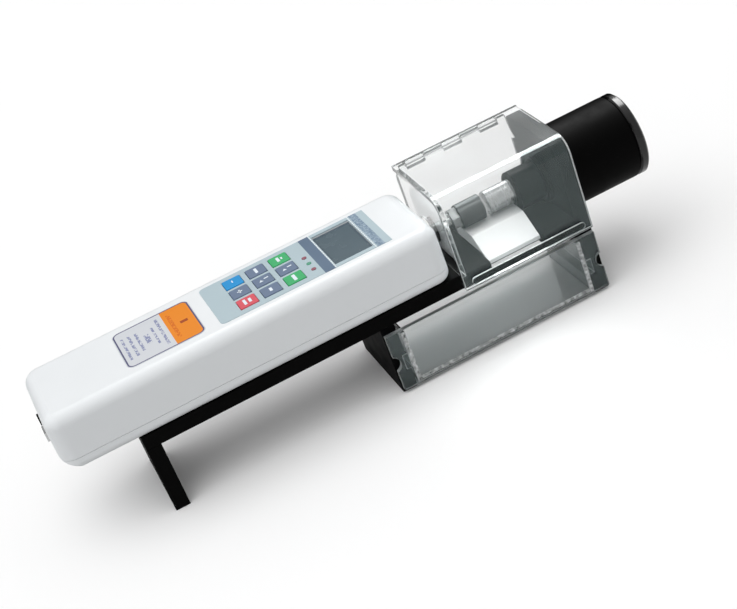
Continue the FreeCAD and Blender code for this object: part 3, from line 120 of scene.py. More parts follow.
class NodeSheet:
    """A node tree while it is built."""

    def __init__(self, tree: bpy.types.NodeTree) -> None:
        """Start an empty tree.

        Args:
            tree: node tree of a material or of the world.
        """
        self.tree = tree
        tree.nodes.clear()

    def join(self, value: Value, end: bpy.types.NodeSocket) -> None:
        """Link a socket, or a node's first output in use, to an input, or set the input's value.

        Args:
            value: what goes into the input.
            end: the input.
        """
        if isinstance(value, bpy.types.Node):
            value = next(socket for socket in value.outputs if socket.enabled)
        if isinstance(value, bpy.types.NodeSocket):
            self.tree.links.new(value, end)
        else:
            end.default_value = value

    def add(
        self, kind: str, links: dict[int | str, Value] | None = None, **settings: object
    ) -> bpy.types.Node:
        """Add one node with its settings and links.

        Args:
            kind: node type without its ShaderNode prefix.
            links: input name or number, with the value, node or socket that goes into it.
            **settings: attributes of the node.

        Returns:
            The new node.
        """
        item = self.tree.nodes.new("ShaderNode" + kind)
        for name, value in settings.items():
            setattr(item, name, value)
        for name, value in (links or {}).items():
            self.join(value, item.inputs[name])
        return item


class Shading(NodeSheet):
    """The node tree of one material, with the patterns that several finishes share."""

    def __init__(self, tree: bpy.types.NodeTree) -> None:
        """Start the tree with object coordinates, one shader and the output.

        Args:
            tree: node tree of the material.
        """
        super().__init__(tree)
        self.place = self.add("TexCoord").outputs["Object"]
        self.split = self.add("SeparateXYZ", {0: self.place}).outputs
        self.shader = self.add("BsdfPrincipled")
        self.output = self.add("OutputMaterial", {"Surface": self.shader})

    def feed(self, name: str, value: Value) -> None:
        """Link or set one input of the shader."""
        self.join(value, self.shader.inputs[name])

    def between(self, axis: str, start: float, end: float) -> bpy.types.Node:
        """One between two places of the bench grid along X or Y, and zero elsewhere.

        Args:
            axis: X or Y.
            start: first place, in millimetres.
            end: last place, in millimetres.

        Returns:
            The node that gives one or zero.
        """
        middle = GRID.at((start + end) / 2, (start + end) / 2, 0.0)["XY".index(axis)]
        links = {0: self.split[axis], 1: middle, 2: (end - start) / 2 * MM}
        return self.add("Math", links, operation="COMPARE")

    def uneven(
        self, size_mm: float, detail: float, low: float, high: float
    ) -> bpy.types.Node:
        """Random pattern that wanders between two values.

        Args:
            size_mm: how far across its features are, in millimetres.
            detail: how many finer layers it has.
            low: its lowest usual value.
            high: its highest usual value.

        Returns:
            The node that gives the value.
        """
        links = {"Vector": self.place, "Scale": per_metre(size_mm), "Detail": detail}
        return self.spread(self.add("TexNoise", links), low, high)

    def spread(self, pattern: bpy.types.Node, low: float, high: float) -> bpy.types.Node:
        """Spread the middle of a random pattern over a range.

        Args:
            pattern: node whose values mostly lie between the ends of MIDDLE.
            low: what the lower end becomes.
            high: what the upper end becomes.

        Returns:
            The node that gives the spread value.
        """
        links = {"Value": pattern, "From Min": MIDDLE[0], "From Max": MIDDLE[1]}
        return self.add("MapRange", {**links, "To Min": low, "To Max": high})


@dataclass(frozen=True)
class Finish:
    """A surface finish: one real material and how its surface was made.

    Sizes are in millimetres. Grain of less than about 0.4 mm wouldn't show, so it is drawn that coarse.
    """

    name: str
    colour: str
    roughness: float = 0.4
    metallic: float = 0.0
    specular: float = 0.5
    coat: float = 0.0
    grain_mm: float = 0.5
    grain_depth_mm: float = 0.01
    grain_detail: float = 2.0
    mottle: float = 0.03
    mottle_mm: float = 18.0
    mottle_detail: float = 3.0
    polish_range: float = 0.06
    polish_mm: float = 9.0
    polish_detail: float = 4.0
    least_roughness: float = 0.0

    def build(self) -> bpy.types.Material:
        """Make the material on its first use.

        Returns:
            The material, the same one on each later call.
        """
        known = bpy.data.materials.get(self.name)
        if known:
            return known
        material = bpy.data.materials.new(self.name)
        material.use_nodes = True
        shading = Shading(material.node_tree)
        shading.feed("Metallic", self.metallic)
        shading.feed("Coat Weight", self.coat)
        shading.feed("Specular IOR Level", self.specular)
        self.colour_surface(shading)
        self.polish_surface(shading)
        self.open_surface(shading)
        return material

    def colour_surface(self, shading: Shading) -> None:
        """Colour the surface, with the slight unevenness of a real one."""
        shading.feed("Base Color", self.mottled(shading))

    def mottled(self, shading: Shading) -> bpy.types.Node:
        """Let the colour wander between a darker and a lighter shade.

        Args:
            shading: the material's tree.

        Returns:
            The node that gives the colour.
        """
        size, detail = per_metre(self.mottle_mm), self.mottle_detail
        cloud = shading.add("TexNoise", {"Vector": shading.place, "Scale": size, "Detail": detail})
        dark, light = shaded(self.colour, -self.mottle), shaded(self.colour, self.mottle)
        return shading.add("Mix", {SHARE: cloud, UNDER: dark, OVER: light}, data_type="RGBA")

    def roughness_limits(self) -> tuple[float, float]:
        """Lowest and highest roughness of the surface."""
        low = max(self.least_roughness, self.roughness - self.polish_range)
        return low, self.roughness + self.polish_range

    def polish_surface(self, shading: Shading) -> None:
        """Give the surface its uneven polish and its fine grain.

        Args:
            shading: the material's tree.
        """
        low, high = self.roughness_limits()
        shading.feed("Roughness", shading.uneven(self.polish_mm, self.polish_detail, low, high))
        size, detail = per_metre(self.grain_mm), self.grain_detail
        links = {"Vector": shading.place, "Scale": size, "Detail": detail}
        self.raise_surface(shading, shading.add("TexNoise", links), self.grain_depth_mm)

    def raise_surface(self, shading: Shading, height: bpy.types.Node, depth_mm: float) -> None:
        """Raise the surface by a pattern of this depth in millimetres."""
        links = {"Height": height, "Distance": depth_mm * MM, "Strength": 1.0}
        shading.feed("Normal", shading.add("Bump", links))

    def open_surface(self, shading: Shading) -> None:
        """Leave the surface closed. Clear finishes open it."""


@dataclass(frozen=True)
class TurnedMetal(Finish):
    """Metal turned on a lathe, with fine rings around the feed axis.

    Real rings lie about 0.1 mm apart. They are drawn further apart, so that they show.
    """

    least_roughness: float = 0.02
    ring_mm: float = 0.45
    ring_depth_mm: float = 0.0012

    def polish_surface(self, shading: Shading) -> None:
        """Cut the lathe's rings: they change along X and outwards, never round the axis.

        Args:
            shading: the material's tree.
        """
        links = {0: shading.place, 1: tuple(FEED_AXIS)}
        away = shading.add("VectorMath", links, operation="SUBTRACT")
        parts = shading.add("SeparateXYZ", {0: away}).outputs
        flat = shading.add("CombineXYZ", {"Y": parts["Y"], "Z": parts["Z"]})
        radius = shading.add("VectorMath", {0: flat}, operation="LENGTH")
        path = shading.add("CombineXYZ", {"X": parts["X"], "Y": radius})
        links = {"Vector": path, "Scale": per_metre(self.ring_mm), "Detail": self.grain_detail}
        rings = shading.add("TexNoise", links)
        shading.feed("Roughness", shading.spread(rings, *self.roughness_limits()))
        self.raise_surface(shading, rings, self.ring_depth_mm)


@dataclass(frozen=True)
class ClearSheet(Finish):
    """Cast acrylic sheet: clear, slightly cool, and it lets the lamps through."""

    polish_mm: float = 22.0
    polish_detail: float = 5.0
    index: float = 1.49
    clearness: float = 1.0
    gleam: str = "#DDF1F1"
    pass_colour: str = "#F4F6F6"

    def colour_surface(self, shading: Shading) -> None:
        """Keep one even tint, set on the shader itself.

        Args:
            shading: the material's tree.
        """
        shading.feed("Base Color", linear(self.colour))
        shading.feed("Transmission Weight", self.clearness)
        shading.feed("IOR", self.index)
        shading.feed("Specular Tint", linear(self.gleam))

    def polish_surface(self, shading: Shading) -> None:
        """Leave the faint haze of handling on a polished surface."""
        low, high = self.roughness, self.roughness + self.polish_range
        shading.feed("Roughness", shading.uneven(self.polish_mm, self.polish_detail, low, high))

    def open_surface(self, shading: Shading) -> None:
        """Let lamps pass straight through, as they do through thin clear sheet.

        Args:
            shading: the material's tree.
        """
        path = shading.add("LightPath").outputs["Is Shadow Ray"]
        passing = shading.add("BsdfTransparent", {"Color": linear(self.pass_colour)})
        mixed = shading.add("MixShader", {0: path, 1: shading.shader, 2: passing})
        shading.join(mixed, shading.output.inputs["Surface"])


@dataclass(frozen=True)
class CementSeam(Finish):
    """Set solvent cement: streaks of white with clear gaps between them."""

    streak_mm: float = 2.2
    streak_detail: float = 3.0
    least: float = 0.15
    most: float = 0.95

    def open_surface(self, shading: Shading) -> None:
        """Open the seam where the cement ran thin."""
        streaks = shading.uneven(self.streak_mm, self.streak_detail, self.least, self.most)
        shading.feed("Alpha", streaks)


@dataclass(frozen=True)
class Band:
    """A printed band across the keypad film, between two places of the bench grid along X."""

    start: float
    end: float
    colour: str
    dash: float = 0.0
    speckle: str = ""


@dataclass(frozen=True)
class PrintedPanel(Finish):
    """Polyester keypad film, printed from behind with plain bands."""

    bands: tuple[Band, ...] = (
        Band(166.9, 172.9, "#5B7087"),
        Band(173.1, 173.6, "#EEF3F6", dash=2.4),
        Band(197.4, 197.9, "#EEF3F6", dash=2.4),
        Band(198.5, 202.8, "#60788F", speckle="#9DB0BF"),
    )
    speckle_mm: float = 0.9
    speckle_detail: float = 1.0
    dash_share: float = 0.7

    def colour_surface(self, shading: Shading) -> None:
        """Print the bands one after the other over the pale ground.

        Args:
            shading: the material's tree.
        """
        colour: Value = linear(self.colour)
        for band in self.bands:
            inside = shading.between("X", band.start, band.end)
            ink: Value = linear(band.colour)
            if band.dash:
                inside = self.dashed(shading, inside, band.dash)
            if band.speckle:
                pale = shading.uneven(self.speckle_mm, self.speckle_detail, 0.0, 1.0)
                links = {SHARE: pale, UNDER: ink, OVER: linear(band.speckle)}
                ink = shading.add("Mix", links, data_type="RGBA")
            colour = shading.add("Mix", {SHARE: inside, UNDER: colour, OVER: ink}, data_type="RGBA")
        shading.feed("Base Color", colour)

    def dashed(
        self, shading: Shading, inside: bpy.types.Node, dash: float
    ) -> bpy.types.Node:
        """Break a band into dashes.

        Args:
            shading: the material's tree.
            inside: node that gives one inside the band.
            dash: distance from one dash to the next, in millimetres.

        Returns:
            The node that gives one inside a dash.
        """
        links = {0: shading.split["Y"], 1: per_metre(dash)}
        step = shading.add("Math", links, operation="MULTIPLY")
        turn = shading.add("Math", {0: step}, operation="FRACT")
        drawn = shading.add("Math", {0: turn, 1: self.dash_share}, operation="LESS_THAN")
        return shading.add("Math", {0: inside, 1: drawn}, operation="MULTIPLY")


@dataclass(frozen=True)
class PrintedRow:
    """A row of print across the label: its middle and width along X and its ends along Y."""

    x: float
    width: float
    start: float
    end: float


@dataclass(frozen=True)
class PrintedLabel(Finish):
    """Vinyl label: white with a dark border, plain rows of broken bars and an orange end.

    Its low and high corners and its other places are on the bench grid, in millimetres.
    """

    border: str = "#56567A"
    ink: str = "#8D93B3"
    orange: str = "#EA8B26"
    orange_ink: str = "#D9701F"
    mark: str = "#A34A22"
    low: tuple[float, float] = (52.0, 10.5)
    high: tuple[float, float] = (97.5, 53.5)
    corner: float = 4.5
    line: float = 0.85
    line_inset: float = 0.9
    orange_start: float = 80.6
    blot_mm: float = 1.25
    blot_detail: float = 1.0
    blot_level: float = 0.46
    rows: tuple[PrintedRow, ...] = (
        PrintedRow(56.2, 1.5, 18.5, 44.5),
        PrintedRow(60.2, 1.7, 19.5, 45.0),
        PrintedRow(64.2, 1.7, 22.0, 43.5),
        PrintedRow(68.8, 2.9, 26.5, 37.0),
        PrintedRow(73.2, 1.3, 21.5, 42.0),
        PrintedRow(77.2, 1.7, 16.0, 48.5),
    )
    orange_rows: tuple[PrintedRow, ...] = (PrintedRow(84.0, 2.2, 17.5, 46.5),)
    plain_mark: PrintedRow = PrintedRow(90.2, 4.4, 30.6, 33.4)

    def rounded_reach(self, shading: Shading) -> bpy.types.Node:
        """Distance from the rectangle that the label's corner centres span.

        Args:
            shading: the material's tree.

        Returns:
            The node with the distance in metres; the label's own edge lies at its corner radius.
        """
        overs = []
        for number, axis in enumerate("XY"):
            middle = (self.low[number] + self.high[number]) / 2
            half = (self.high[number] - self.low[number]) / 2 - self.corner
            links = {0: shading.split[axis], 1: GRID.at(middle, middle, 0)[number]}
            shift = shading.add("Math", links, operation="SUBTRACT")
            span = shading.add("Math", {0: shift}, operation="ABSOLUTE")
            over = shading.add("Math", {0: span, 1: half * MM}, operation="SUBTRACT")
            overs.append(shading.add("Math", {0: over, 1: 0.0}, operation="MAXIMUM"))
        flat = shading.add("CombineXYZ", {"X": overs[0], "Y": overs[1]})
        return shading.add("VectorMath", {0: flat}, operation="LENGTH")

    def row(self, shading: Shading, row: PrintedRow) -> bpy.types.Node:
        """One inside a row's rectangle and zero elsewhere.

        Args:
            shading: the material's tree.
            row: the row.

        Returns:
            The node that gives one or zero.
        """
        along = shading.between("X", row.x - row.width / 2, row.x + row.width / 2)
        across = shading.between("Y", row.start, row.end)
        return shading.add("Math", {0: along, 1: across}, operation="MULTIPLY")

    def print_rows(
        self, shading: Shading, colour: Value, rows: tuple[PrintedRow, ...], ink: str
    ) -> Value:
        """Print rows of broken bars over a colour.

        Args:
            shading: the material's tree.
            colour: what is under the print.
            rows: the rows.
            ink: their colour as sRGB hex.

        Returns:
            The node that gives the printed colour.
        """
        size, detail = per_metre(self.blot_mm), self.blot_detail
        links = {"Vector": shading.place, "Scale": size, "Detail": detail}
        grain = shading.add("TexNoise", links)
        blots = shading.add("Math", {0: grain, 1: self.blot_level}, operation="GREATER_THAN")
        for row in rows:
            links = {0: self.row(shading, row), 1: blots}
            broken = shading.add("Math", links, operation="MULTIPLY")
            links = {SHARE: broken, UNDER: colour, OVER: linear(ink)}
            colour = shading.add("Mix", links, data_type="RGBA")
        return colour

    def colour_surface(self, shading: Shading) -> None:
        """Print rows, orange end and border over the white vinyl.

        Args:
            shading: the material's tree.
        """
        reach = self.rounded_reach(shading)
        inner = (self.corner - self.line_inset) * MM
        colour = self.print_rows(shading, linear(self.colour), self.rows, self.ink)
        within = shading.add("Math", {0: reach, 1: inner}, operation="LESS_THAN")
        field_end = shading.between("X", self.orange_start, self.high[0])
        share = shading.add("Math", {0: field_end, 1: within}, operation="MULTIPLY")
        links = {SHARE: share, UNDER: colour, OVER: linear(self.orange)}
        colour = shading.add("Mix", links, data_type="RGBA")
        colour = self.print_rows(shading, colour, self.orange_rows, self.orange_ink)
        links = {SHARE: self.row(shading, self.plain_mark), UNDER: colour, OVER: linear(self.mark)}
        colour = shading.add("Mix", links, data_type="RGBA")
        links = {0: reach, 1: inner, 2: self.line / 2 * MM}
        edge = shading.add("Math", links, operation="COMPARE")
        links = {SHARE: edge, UNDER: colour, OVER: linear(self.border)}
        shading.feed("Base Color", shading.add("Mix", links, data_type="RGBA"))


@dataclass(frozen=True)
class DisplayGlass(Finish):
    """Display window: a grey field inside a darker border, which is painted shade of the recess that
    the window sits in.
    """

    mottle_mm: float = 14.0
    mottle_detail: float = 1.0
    # Painted shade: this darker border stands for the shade of the recess walls on the window's edges
    edge: str = "#4B5B66"
    low: tuple[float, float] = (175.2, 13.6)
    high: tuple[float, float] = (195.6, 50.0)

    def colour_surface(self, shading: Shading) -> None:
        """Show the grey field with its slow unevenness inside the painted shade of its border.

        Args:
            shading: the material's tree.
        """
        links = {
            0: shading.between("X", self.low[0], self.high[0]),
            1: shading.between("Y", self.low[1], self.high[1]),
        }
        inside = shading.add("Math", links, operation="MULTIPLY")
        links = {SHARE: inside, UNDER: linear(self.edge), OVER: self.mottled(shading)}
        shading.feed("Base Color", shading.add("Mix", links, data_type="RGBA"))


@dataclass(frozen=True)
class StatusLights(Finish):
    """Clear epoxy lights: the middle one, between two places along Y, is green, the others red."""

    green: str = "#46977A"
    middle: tuple[float, float] = (22.0, 30.0)

    def colour_surface(self, shading: Shading) -> None:
        """Colour each light by its place across the panel.

        Args:
            shading: the material's tree.
        """
        inside = shading.between("Y", *self.middle)
        links = {SHARE: inside, UNDER: linear(self.colour), OVER: linear(self.green)}
        shading.feed("Base Color", shading.add("Mix", links, data_type="RGBA"))


@dataclass(frozen=True)
class CircuitMask(Finish):
    """Green solder mask over copper tracks."""

    track: str = "#3E9A5C"
    cell_mm: float = 4.0
    track_place: float = 0.45
    track_half: float = 0.06

    def colour_surface(self, shading: Shading) -> None:
        """Show the tracks as lighter cells under the mask.

        Args:
            shading: the material's tree.
        """
        links = {"Vector": shading.place, "Scale": per_metre(self.cell_mm)}
        cells = shading.add("TexVoronoi", links, distance="MANHATTAN")
        links = {0: cells, 1: self.track_place, 2: self.track_half}
        track = shading.add("Math", links, operation="COMPARE")
        links = {SHARE: track, UNDER: linear(self.colour), OVER: linear(self.track)}
        shading.feed("Base Color", shading.add("Mix", links, data_type="RGBA"))


@dataclass(frozen=True)
class SweepPaper(Finish):
    """Paper of the studio floor: white where it is seen, greyer in the light that it gives back."""

    given_back: str = "#BDBDBD"

    def colour_surface(self, shading: Shading) -> None:
        """Show white to the camera, through clear sheet and in mirrors.

        Args:
            shading: the material's tree.
        """
        path = shading.add("LightPath").outputs
        links = {0: path["Is Camera Ray"], 1: path["Is Transmission Ray"]}
        seen = shading.add("Math", links, operation="MAXIMUM")
        seen = shading.add("Math", {0: seen, 1: path["Is Glossy Ray"]}, operation="MAXIMUM")
        links = {SHARE: seen, UNDER: linear(self.given_back), OVER: linear(self.colour)}
        shading.feed("Base Color", shading.add("Mix", links, data_type="RGBA"))


# Moulded ABS: an even white with a fine spark-eroded texture, so highlights are broad and soft.
WHITE_ABS = Finish("moulded_white_abs", "#E9ECEE", 0.42, specular=0.3, grain_mm=0.45, mottle=0.006)
# Bead-blasted and black-anodised aluminium plate: nearly black, with a dull sheen at low angles.
BLACK_ANODISED = Finish(
    "black_anodised_plate", "#020202", 0.65, specular=0.04, grain_mm=0.4,
    grain_depth_mm=0.0004, mottle=0.2,
)
# Blackened steel of screws and sleeve: dark oxide with very little shine.
BLACKENED_STEEL = Finish(
    "blackened_steel", "#050606", 0.45, specular=0.1, grain_mm=0.6, mottle=0.12
)
# Moulded black acetal of knob, bush and charging socket: deep black, with a dull bloom.
BLACK_ACETAL = Finish(
    "moulded_black_acetal", "#010101", 0.5, specular=0.035, grain_mm=0.5, grain_depth_mm=0.006,
    mottle=0.2,
)
# Polished black acetal of the knob's cap: its rounded rim catches the lamps.
GLOSS_ACETAL = Finish(
    "polished_black_acetal", "#040404", 0.2, specular=0.4, grain_mm=0.8,
    grain_depth_mm=0.003, mottle=0.2,
)
# Turned stainless steel of rod, nut, pins and screw: bright, with fine rings from the lathe.
TURNED_STEEL = TurnedMetal("turned_stainless_steel", "#8C8E8E", 0.3, 1.0, mottle=0.02)
# Ground and polished steel of the pusher: bright, with shallower rings than a turned piece.
POLISHED_STEEL = TurnedMetal(
    "polished_steel_plunger", "#AAACAC", 0.25, 1.0, mottle=0.02, ring_depth_mm=0.0006
)
# Ground and hardened steel jaw: greyer and duller than the pusher.
HARD_JAW = TurnedMetal("hardened_steel_jaw", "#555757", 0.5, 1.0, mottle=0.03, ring_mm=0.6)
# Turned brass of bushes, inserts and collar: warm yellow metal with lathe rings.
TURNED_BRASS = TurnedMetal("turned_brass", "#D2B066", 0.28, 1.0, mottle=0.03)
# Zinc-plated steel of small screws: pale, slightly cloudy plating.
ZINC_PLATE = Finish("zinc_plated_steel", "#BFC1C4", 0.33, 1.0, grain_mm=0.7, mottle=0.08)
# Milled aluminium of load cell and its bracket: pale metal with fine cutter marks.
MILLED_ALUMINIUM = Finish("milled_aluminium", "#D3D5D7", 0.32, 1.0, grain_mm=0.5, mottle=0.04)
# Machined white acetal of the tablet rest: dense waxy white.
WHITE_ACETAL = Finish("machined_white_acetal", "#E2E3E3", 0.4, grain_mm=0.7, mottle=0.01)
# Cast acrylic of lid and chamber walls: clear, with a faint haze from handling.
CAST_ACRYLIC = ClearSheet(
    "cast_clear_acrylic", "#F5F6F6", 0.015, specular=0.33, polish_range=0.05
)
# Acrylic of drawer and runners, a little hazier than the lid; its dark colour for shadow rays paints
# deeper shade on the floor under it.
SHADOW_DEEPENING_ACRYLIC = ClearSheet(
    "clear_acrylic_painted_deep_shadow", "#F6F7F7", 0.02, specular=0.33, polish_range=0.06,
    # Painted shade: shadow rays through the drawer pass only this dark colour
    pass_colour="#545858",
)
# Eased and flame-polished edges of the same sheet: their half-white diffuse colour is a painted
# highlight for the light that they gather, so they show as pale lines.
ACRYLIC_EDGE_HIGHLIGHT = ClearSheet(
    "flame_polished_edge_painted_highlight", "#F0F3F3", 0.2, clearness=0.45, polish_range=0.1
)
# Sawn and scraped edge of the drawer's front: dull, and greyer than a polished one, partly from the
# sawn surface and partly as painted shade from the lid and plate above it.
SAWN_AND_SHADED_EDGE = ClearSheet("sawn_acrylic_edge_painted_shade", "#BCC1C1", 0.35, specular=0.33, clearness=0.8)
# Solvent cement between the tray and its front: whitish, streaky and only half clear.
SOLVENT_CEMENT = CementSeam("solvent_cement_seam", "#F2F3F3", 0.3, grain_mm=0.7, grain_depth_mm=0.05)
# Printed polyester film of the keypad: satin, pale blue-grey with slate bands.
KEYPAD_FILM = PrintedPanel("printed_keypad_film", "#B1C3CA", 0.42, specular=0.15, grain_mm=0.8)
# Laminated vinyl label: glossy white with plain generic print.
LABEL_VINYL = PrintedLabel("printed_vinyl_label", "#D3D6DB", 0.34, specular=0.1, grain_mm=1.2)
# Acrylic display window over a grey liquid crystal: smooth, with a cool dark ground and a darker border
# that is painted shade of its recess.
DISPLAY_WINDOW = DisplayGlass(
    "display_window", "#51626B", 0.25, specular=0.2, grain_mm=2.0, grain_depth_mm=0.001, mottle=0.07
)
# Moulded body of the display unit under its window: dull grey-green.
DISPLAY_BODY = Finish("moulded_display_body", "#59656A", 0.5)
# Epoxy status lights, unlit: red, green, red.
LIGHT_EPOXY = StatusLights("epoxy_status_lights", "#8E4456", 0.2, coat=0.3)
# Nickel shell of the data socket: bright and slightly uneven.
NICKEL_SHELL = Finish("nickel_socket_shell", "#B9BABB", 0.26, 1.0, mottle=0.05)
# Solder mask on the glass-fibre board: glossy green over copper tracks.
SOLDER_MASK = CircuitMask("green_solder_mask", "#1D6B3C", 0.35, coat=0.3)
# Shrink wrap on the cells inside the gauge: taut blue film.
SHRINK_WRAP = Finish("blue_shrink_wrap", "#2F6E9E", 0.22, coat=0.4, mottle=0.05)
# White ink of the signs on the keys: flat and slightly raised.
KEY_INK = Finish("white_key_ink", "#DCE6EE", 0.5, grain_mm=0.6, mottle=0.02)
# Black velvet card behind the tester: it keeps the clear sheets from mirroring white.
FLAG_CARD = Finish("black_flag_card", "#050505", 0.9, specular=0.0)
# White paper sweep under the tester: matt, and it keeps the tester's shadow.
STUDIO_PAPER = SweepPaper("studio_paper", "#FCFCFC", 0.9, specular=0.0, mottle=0.0)


class KeyColour(Enum):
    """Silicone keys: soft satin rubber in four colours."""

    BLUE = Finish("blue_silicone_key", "#0F8FD0", 0.5, specular=0.15, mottle=0.03)
    SLATE = Finish("slate_silicone_key", "#677892", 0.5, specular=0.15, mottle=0.03)
    GREEN = Finish("green_silicone_key", "#38AE6A", 0.5, specular=0.15, mottle=0.03)
    RED = Finish("red_silicone_key", "#D6525F", 0.5, specular=0.15, mottle=0.03)


def body_of(node: str) -> str:
    """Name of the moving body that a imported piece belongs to."""
    bodies = frame["record"]["behaviour"]["bodies"]
    return next(body for body, members in bodies.items() if node in members)


def dress(names: list[str], finish: Finish) -> None:
    """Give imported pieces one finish.

    Args:
        names: CAD nodes.
        finish: the finish that they all get.
    """
    for name in names:
        mesh = frame["nodes"][name].data
        mesh.materials.clear()
        mesh.materials.append(finish.build())
    log.info("%s: %s", finish.name, ", ".join(names))


def add_piece(name: str, mesh: bmesh.types.BMesh, *finishes: Finish) -> bpy.types.Object:
    """Turn a finished bmesh into an object.

    Args:
        name: name of the piece.
        mesh: its shape in the shared frame; it is freed here.
        *finishes: its finishes, in the order of its faces' material numbers.

    Returns:
        The new object.
    """
    data = bpy.data.meshes.new(name)
    mesh.to_mesh(data)
    mesh.free()
    for finish in finishes:
        data.materials.append(finish.build())
    piece = bpy.data.objects.new(name, data)
    bpy.context.scene.collection.objects.link(piece)
    log.info("%s: %d faces", name, len(data.polygons))
    return piece


@dataclass(frozen=True)
class EasedCopy:
    """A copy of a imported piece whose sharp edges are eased, as the workshop leaves them.

    Lengths are in millimetres and angles in degrees.
    """

    node: str
    finish: Finish
    edge_finish: Finish | None = None
    broad_axis: str = ""
    plain_from: float = 1000.0
    width: float = 0.35
    segments: int = 2
    eased_angle: float = 30.0
    hard_angle: float = 50.0
    flat_angle: float = 0.5
    merge: float = 0.003
    facing: float = 0.8

    def build(self) -> bpy.types.Object:
        """Copy the piece, ease its edges and put the copy in the piece's place.

        Returns:
            The copy, which moves with the piece's body.
        """
        mesh = bmesh.new()
        mesh.from_mesh(frame["nodes"][self.node].data)
        bmesh.ops.remove_doubles(mesh, verts=mesh.verts[:], dist=self.merge * MM)
        bmesh.ops.recalc_face_normals(mesh, faces=mesh.faces[:])
        bmesh.ops.dissolve_limit(
            mesh, angle_limit=math.radians(self.flat_angle), verts=mesh.verts[:], edges=mesh.edges[:]
        )
        eased = bmesh.ops.bevel(
            mesh, geom=[edge for edge in mesh.edges if self.is_eased(edge)],
            offset=self.width * MM, segments=self.segments, profile=0.5, affect="EDGES",
            material=-1, clamp_overlap=True,
        )
        rounded = set(eased["faces"])
        for edge in mesh.edges:
            edge.smooth = not self.is_sharp(edge, self.hard_angle)
        for face in mesh.faces:
            face.smooth = True
            face.material_index = int(self.is_edge(face, rounded))
        finishes = [self.finish] + ([self.edge_finish] if self.edge_finish else [])
        piece = add_piece(f"{self.node}_eased", mesh, *finishes)
        shading = piece.modifiers.new("even_shading", "WEIGHTED_NORMAL")
        shading.keep_sharp = True
        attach(piece, body_of(self.node))
        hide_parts(self.node)
        return piece

    def is_sharp(self, edge: bmesh.types.BMEdge, angle: float) -> bool:
        """Whether an edge lies between two faces that meet at more than an angle in degrees."""
        return len(edge.link_faces) == 2 and edge.calc_face_angle() > math.radians(angle)

    def is_eased(self, edge: bmesh.types.BMEdge) -> bool:
        """Whether an edge gets eased.

        Args:
            edge: the edge in question.

        Returns:
            True for a sharp edge that lies in front of the plain stretch.
        """
        limit = GRID.at(0.0, self.plain_from, 0.0).y
        ahead = all(vert.co.y < limit for vert in edge.verts)
        return ahead and self.is_sharp(edge, self.eased_angle)

    def is_edge(self, face: bmesh.types.BMFace, rounded: set[bmesh.types.BMFace]) -> bool:
        """Whether a face belongs to the sheet's eased edges.

        Args:
            face: the face in question.
            rounded: the faces that the easing made.

        Returns:
            True for an eased face, and for each face that looks away from the broad axis where
            there is one.
        """
        if self.edge_finish is None:
            return False
        if self.broad_axis:
            return abs(face.normal["XYZ".index(self.broad_axis)]) < self.facing
        return face in rounded


@dataclass
class Bracket:
    """The black plates that carry the gauge, the chamber and the knob."""

    plates: tuple[str, ...] = ("base_plate", "rear_leg", "left_side_plate", "right_end_plate")
    fixings: tuple[str, ...] = ("frame_screws", "gauge_screws", "rest_screws")

    def build(self) -> None:
        """Dress plates and screws."""
        dress(list(self.plates), BLACK_ANODISED)
        dress(list(self.fixings), BLACKENED_STEEL)


@dataclass
class ForceGauge:
    """The white hand-held gauge with its panel, display, label and inner units."""

    def build(self) -> None:
        """Dress the housing and everything in and on it."""
        dress(["gauge_top_shell", "gauge_bottom_shell"], WHITE_ABS)
        dress(["keypad_panel"], KEYPAD_FILM)
        dress(["label_plate"], LABEL_VINYL)
        dress(["lcd_window"], DISPLAY_WINDOW)
        dress(["lcd_module"], DISPLAY_BODY)
        dress(["status_leds"], LIGHT_EPOXY)
        dress(["main_circuit_board"], SOLDER_MASK)
        dress(["battery_pack"], SHRINK_WRAP)
        dress(["load_cell", "load_cell_bracket"], MILLED_ALUMINIUM)
        dress(["board_standoffs", "gauge_inserts"], TURNED_BRASS)
        dress(["board_screws", "load_cell_screws", "shell_screws", "key_domes"], ZINC_PLATE)
        dress(["charging_socket", "rod_bush"], BLACK_ACETAL)
        dress(["data_socket"], NICKEL_SHELL)
        dress(["force_rod", "jaw_lock_nut"], TURNED_STEEL)


@dataclass(frozen=True)
class Bar:
    """A bar of a key's sign: its middle from the key's centre and its half sizes, in millimetres."""

    x: float
    y: float
    half_x: float
    half_y: float


